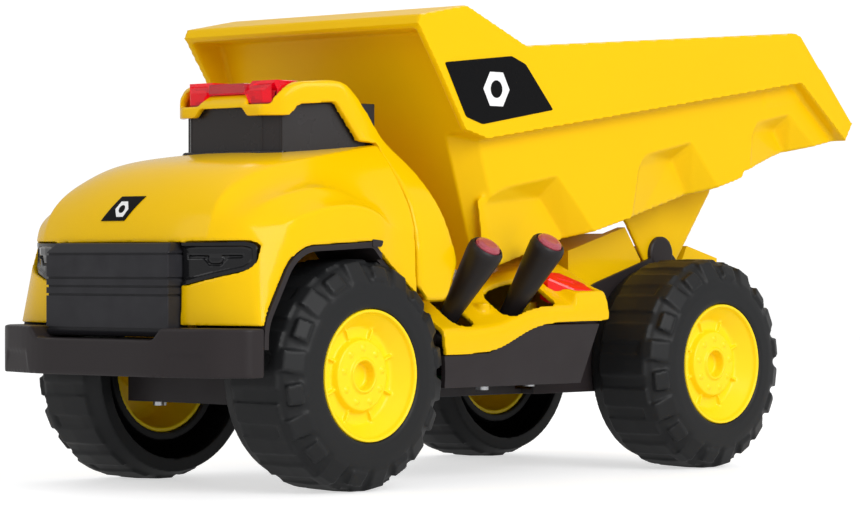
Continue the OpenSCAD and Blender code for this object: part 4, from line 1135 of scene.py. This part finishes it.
def makeDeck():
    rows = deckColumns()
    shape = bmesh.new()
    crease = shape.edges.layers.float.new("crease_edge")
    for sign in (1, -1):
        grid = [[shape.verts.new(Vector((x * sign, y, z)) * mm) for x, y, z in row] for row in rows]
        for r in range(len(grid) - 1):
            for c in range(len(grid[0]) - 1):
                ring = (grid[r][c], grid[r + 1][c], grid[r + 1][c + 1], grid[r][c + 1])
                if len({tuple(round(q, 6) for q in v.co) for v in ring}) == 4:
                    shape.faces.new(ring)
        for r in range(len(grid) - 1):
            for c, value in ((3, 0.55), (4, 0.25), (7, 0.3), (8, 0.7)):
                edge = shape.edges.get((grid[r][c], grid[r + 1][c]))
                if edge:
                    edge[crease] = value
        for r, value in ((len(deckRows) - 1, 0.6), (len(deckRows), 0.75), (len(rows) - 2, 0.5)):
            for c in range(len(grid[0]) - 1):
                edge = shape.edges.get((grid[r][c], grid[r][c + 1]))
                if edge:
                    edge[crease] = value
    bmesh.ops.remove_doubles(shape, verts=shape.verts, dist=0.01 * mm)
    bmesh.ops.recalc_face_normals(shape, faces=shape.faces)
    body = fromShape("sideDeck", shape)
    smooth = body.modifiers.new("smooth", "SUBSURF")
    smooth.levels = smooth.render_levels = 3
    thick = body.modifiers.new("thick", "SOLIDIFY")
    thick.thickness, thick.offset = deck["wall"] * mm, -1
    bake(body)
    # openings for the wheels and the side plates, and on the left for the levers and the button
    room = [(30, 0), (30, 54), (100, 54), (100, 0)]
    cut(body, both("wheelRoom", lambda name: moved(turned(name, room, 96), wheelCentre)))
    slotFront = rounded([(54, -72.6), (73.4, -72.6), (73.4, -59.4), (54, -59.4)], [1, 6, 6, 1], 6)
    slotRear = rounded([(56, -39.8), (74.2, -39.8), (74.2, -4.4), (56, -4.4)], 7, 6)
    cut(body, slab("slotFront", slotFront, 62, 110, "z"), slab("slotRear", slotRear, 62, 110, "z"),
        slab("buttonSeat", buttonRing(1.05), 60, 110, "z"))
    plate = [(43.7, 5), (46.7, 5), (46.7, 45), (43.7, 45)]
    cut(body, both("plateRoom", lambda name: slab(name, plate, 55, 89, "z")))
    cut(body, slab("cabRoom", [(-200, 81.5), (-72.2, 81.5), (-72.2, 200), (-200, 200)], -100, 100, "x"))
    cut(body, slab("frontEnd", [(-200, 0), (-84.5, 0), (-84.5, 200), (-200, 200)], -100, 100, "x"))
    for sign in (1, -1):
        for x, y in ((64, -46), (50, 2)):
            unite(body, moved(upright(turned("boss", [(45.6, 0), (45.6, 3.6), (80, 3.6), (80, 0)], 32)),
                              (sign * x, y, 0)))
    mould(body, deck["skin"], 2, 0.35)
    return wear(shadeSmooth(body), bodyYellow, "chassis", "yellow_plastic", "side_deck")


makeDeck()
print("deck made")


tray = {"ear": 8.5, "pinRoom": 4}
# shallow block marks low on each skirt
skirtMarks = [(-14, 54.8), (-7.6, 54.8), (-6.8, 52.4), (-2, 52.4), (-1.2, 55.6), (6.8, 55.6), (9, 46), (-12, 46)]


def pinEar(name):
    # round ear over the end of the hinge pin
    r = tray["ear"]
    ear = turned(name, [(43.9, 0), (43.9, r), (45.6, r), (46.2, r - 0.6), (46.4, r - 1.5), (46.4, 0)], 48)
    cut(ear, turned("pinRoom", [(40, 0), (40, tray["pinRoom"]), (45.85, tray["pinRoom"]), (45.85, 0)], 48))
    return moved(ear, hingeCentre)


def makeTray():
    body = cadCopy("chassis_tray", "chassisTray")
    for low, high in ((75.5, 76.7), (-77.5, -74.7)):
        cut(body, slab("marks", skirtMarks, low, high, "x"))
    rounding(body, 0.8, 2, 40)
    join(body, both("ear", pinEar))
    return wear(shadeSmooth(body), charcoalPlastic, "chassis", "dark_plastic", "chassis_tray")


def makeRearFrame():
    body = cadCopy("rear_frame", "rearFrame")
    cheek = [(60, 80), (40, 104.7), (79.3, 115.4), (91.2, 99.4), (86, 80)]
    unite(body, both("cheek", lambda name: slab(name, cheek, 39.2, 43.8, "x")))
    rounding(body, 0.9, 3, 30)
    return wear(shadeSmooth(body), bodyYellow, "chassis", "yellow_plastic", "rear_frame")


makeTray()
makeRearFrame()
print("lower body and rear frame made")


lever = {"lean": 37, "ball": 5.5, "pin": 1.5}
# along the lever from its pivot, radius
leverProfile = [(0, 0), (0, 4.1), (8, 4.25), (16, 4.7), (24, 5.7), (34, 7), (42, 7.95), (45.2, 8.2), (47.2, 8),
                (48.4, 7.3), (48.7, 6.7), (48.2, 6.3), (47.6, 6.2), (47.6, 0)]


def leaned(obj, pivot):
    # a piece made along X, stood on its pivot and leaned outward
    turn = Matrix.Rotation(math.radians(lever["lean"] - 90), 4, "Y")
    obj.data.transform(Matrix.Translation(Vector(pivot) * mm) @ turn)
    return obj


lensProfile = [(47.7, 0), (47.7, 6.1), (48.9, 6.05), (49.9, 5.3), (50.4, 3.6), (50.5, 0)]
starProfile = [(47.75, 0), (48.4, 5.2), (48.7, 3.9), (48.2, 2.6), (49.4, 1.4), (49.7, 0)]


def makeLever(name, node, body, pivot, trunnionAlong, trunnionEnds, extra):
    # extra is the length added in the tapered part
    profile = [(t + extra * min(1, max(0, (t - 10) / 32)), r) for t, r in leverProfile]
    stick = leaned(turned(name, profile, 64), pivot)
    arc = [math.pi * (k / 16 - 0.5) for k in range(17)]
    ball = moved(turned("ball", [(lever["ball"] * math.sin(a), lever["ball"] * math.cos(a)) for a in arc], 32), pivot)
    low, high = trunnionEnds
    pin = turned("pin", [(low, 0), (low, lever["pin"]), (high, lever["pin"]), (high, 0)], 24)
    if trunnionAlong == "y":
        pin.data.transform(Matrix.Rotation(math.radians(90), 4, "Z"))
        moved(pin, pivot)
    else:
        moved(pin, (0, pivot[1], pivot[2]))
    unite(stick, ball, pin)
    wear(shadeSmooth(stick), leverBlack, body, "lever_black", node)
    for suffix, outline, sides, sharp, finish, nodes in (("Lens", lensProfile, 14, 8, lensPink, [node + "_lens"]),
                                                         ("Reflector", starProfile, 7, 5, starChrome, [])):
        piece = leaned(turned(name + suffix, [(extra + t, r) for t, r in outline], sides), pivot)
        wear(shadeSmooth(piece, sharp), finish, body, "lens_clear", *nodes)


makeLever("frontLever", "lever_front", "front_lever", (54.6, -66, 64.6), "y", (-8, 8), 2.5)
makeLever("rearLever", "lever_rear", "rear_lever", (54.6, -26, 64.6), "x", (46.4, 64.2), 5)
print("levers made")


def makeButton():
    lean = math.tan(math.radians(button["lean"]))

    def ring(grow, height, follow):
        return [(x, y, height - follow * (x - button["x"]) * lean) for x, y in buttonRing(grow)]

    body = lofted("soundButton", ring(1, 79, 0.55), ring(1, 88.9, 1), ring(0.93, 89.9, 1), ring(0.72, 90.3, 1))
    stem = moved(upright(turned("stem", [(72, 0), (72, 3), (82, 3), (82, 0)], 24)), (button["x"], button["y"], 0))
    groove = slab("groove", rounded([(61.4, 8), (63, 8), (66.6, 15.6), (65, 15.6)], 0.4, 3), 88.4, 95, "z")
    cut(body, groove)
    unite(body, stem)
    rounding(body, 0.35, 2, 20)
    return wear(shadeSmooth(body, 25), buttonRed, "button", "red_clear", "sound_button")


makeButton()
print("button made")


# finishes of the CAD parts that stay
slotFinish = {"dark_plastic": charcoalPlastic, "gear_plastic": acetalWhite, "circuit_green": boardGreen,
              "cell_steel": cellSteel, "steel": zincSteel, "lever_black": leverBlack, "yellow_plastic": bodyYellow,
              "red_clear": clearRed}


def finishCadParts():
    for row in frame["record"]["subparts"]:
        obj = frame["nodes"][row["node"]]
        finish = slotFinish.get(row["material_slot"])
        if finish:
            obj.data.materials.clear()
            obj.data.materials.append(finish)


finishCadParts()
print("CAD parts finished")
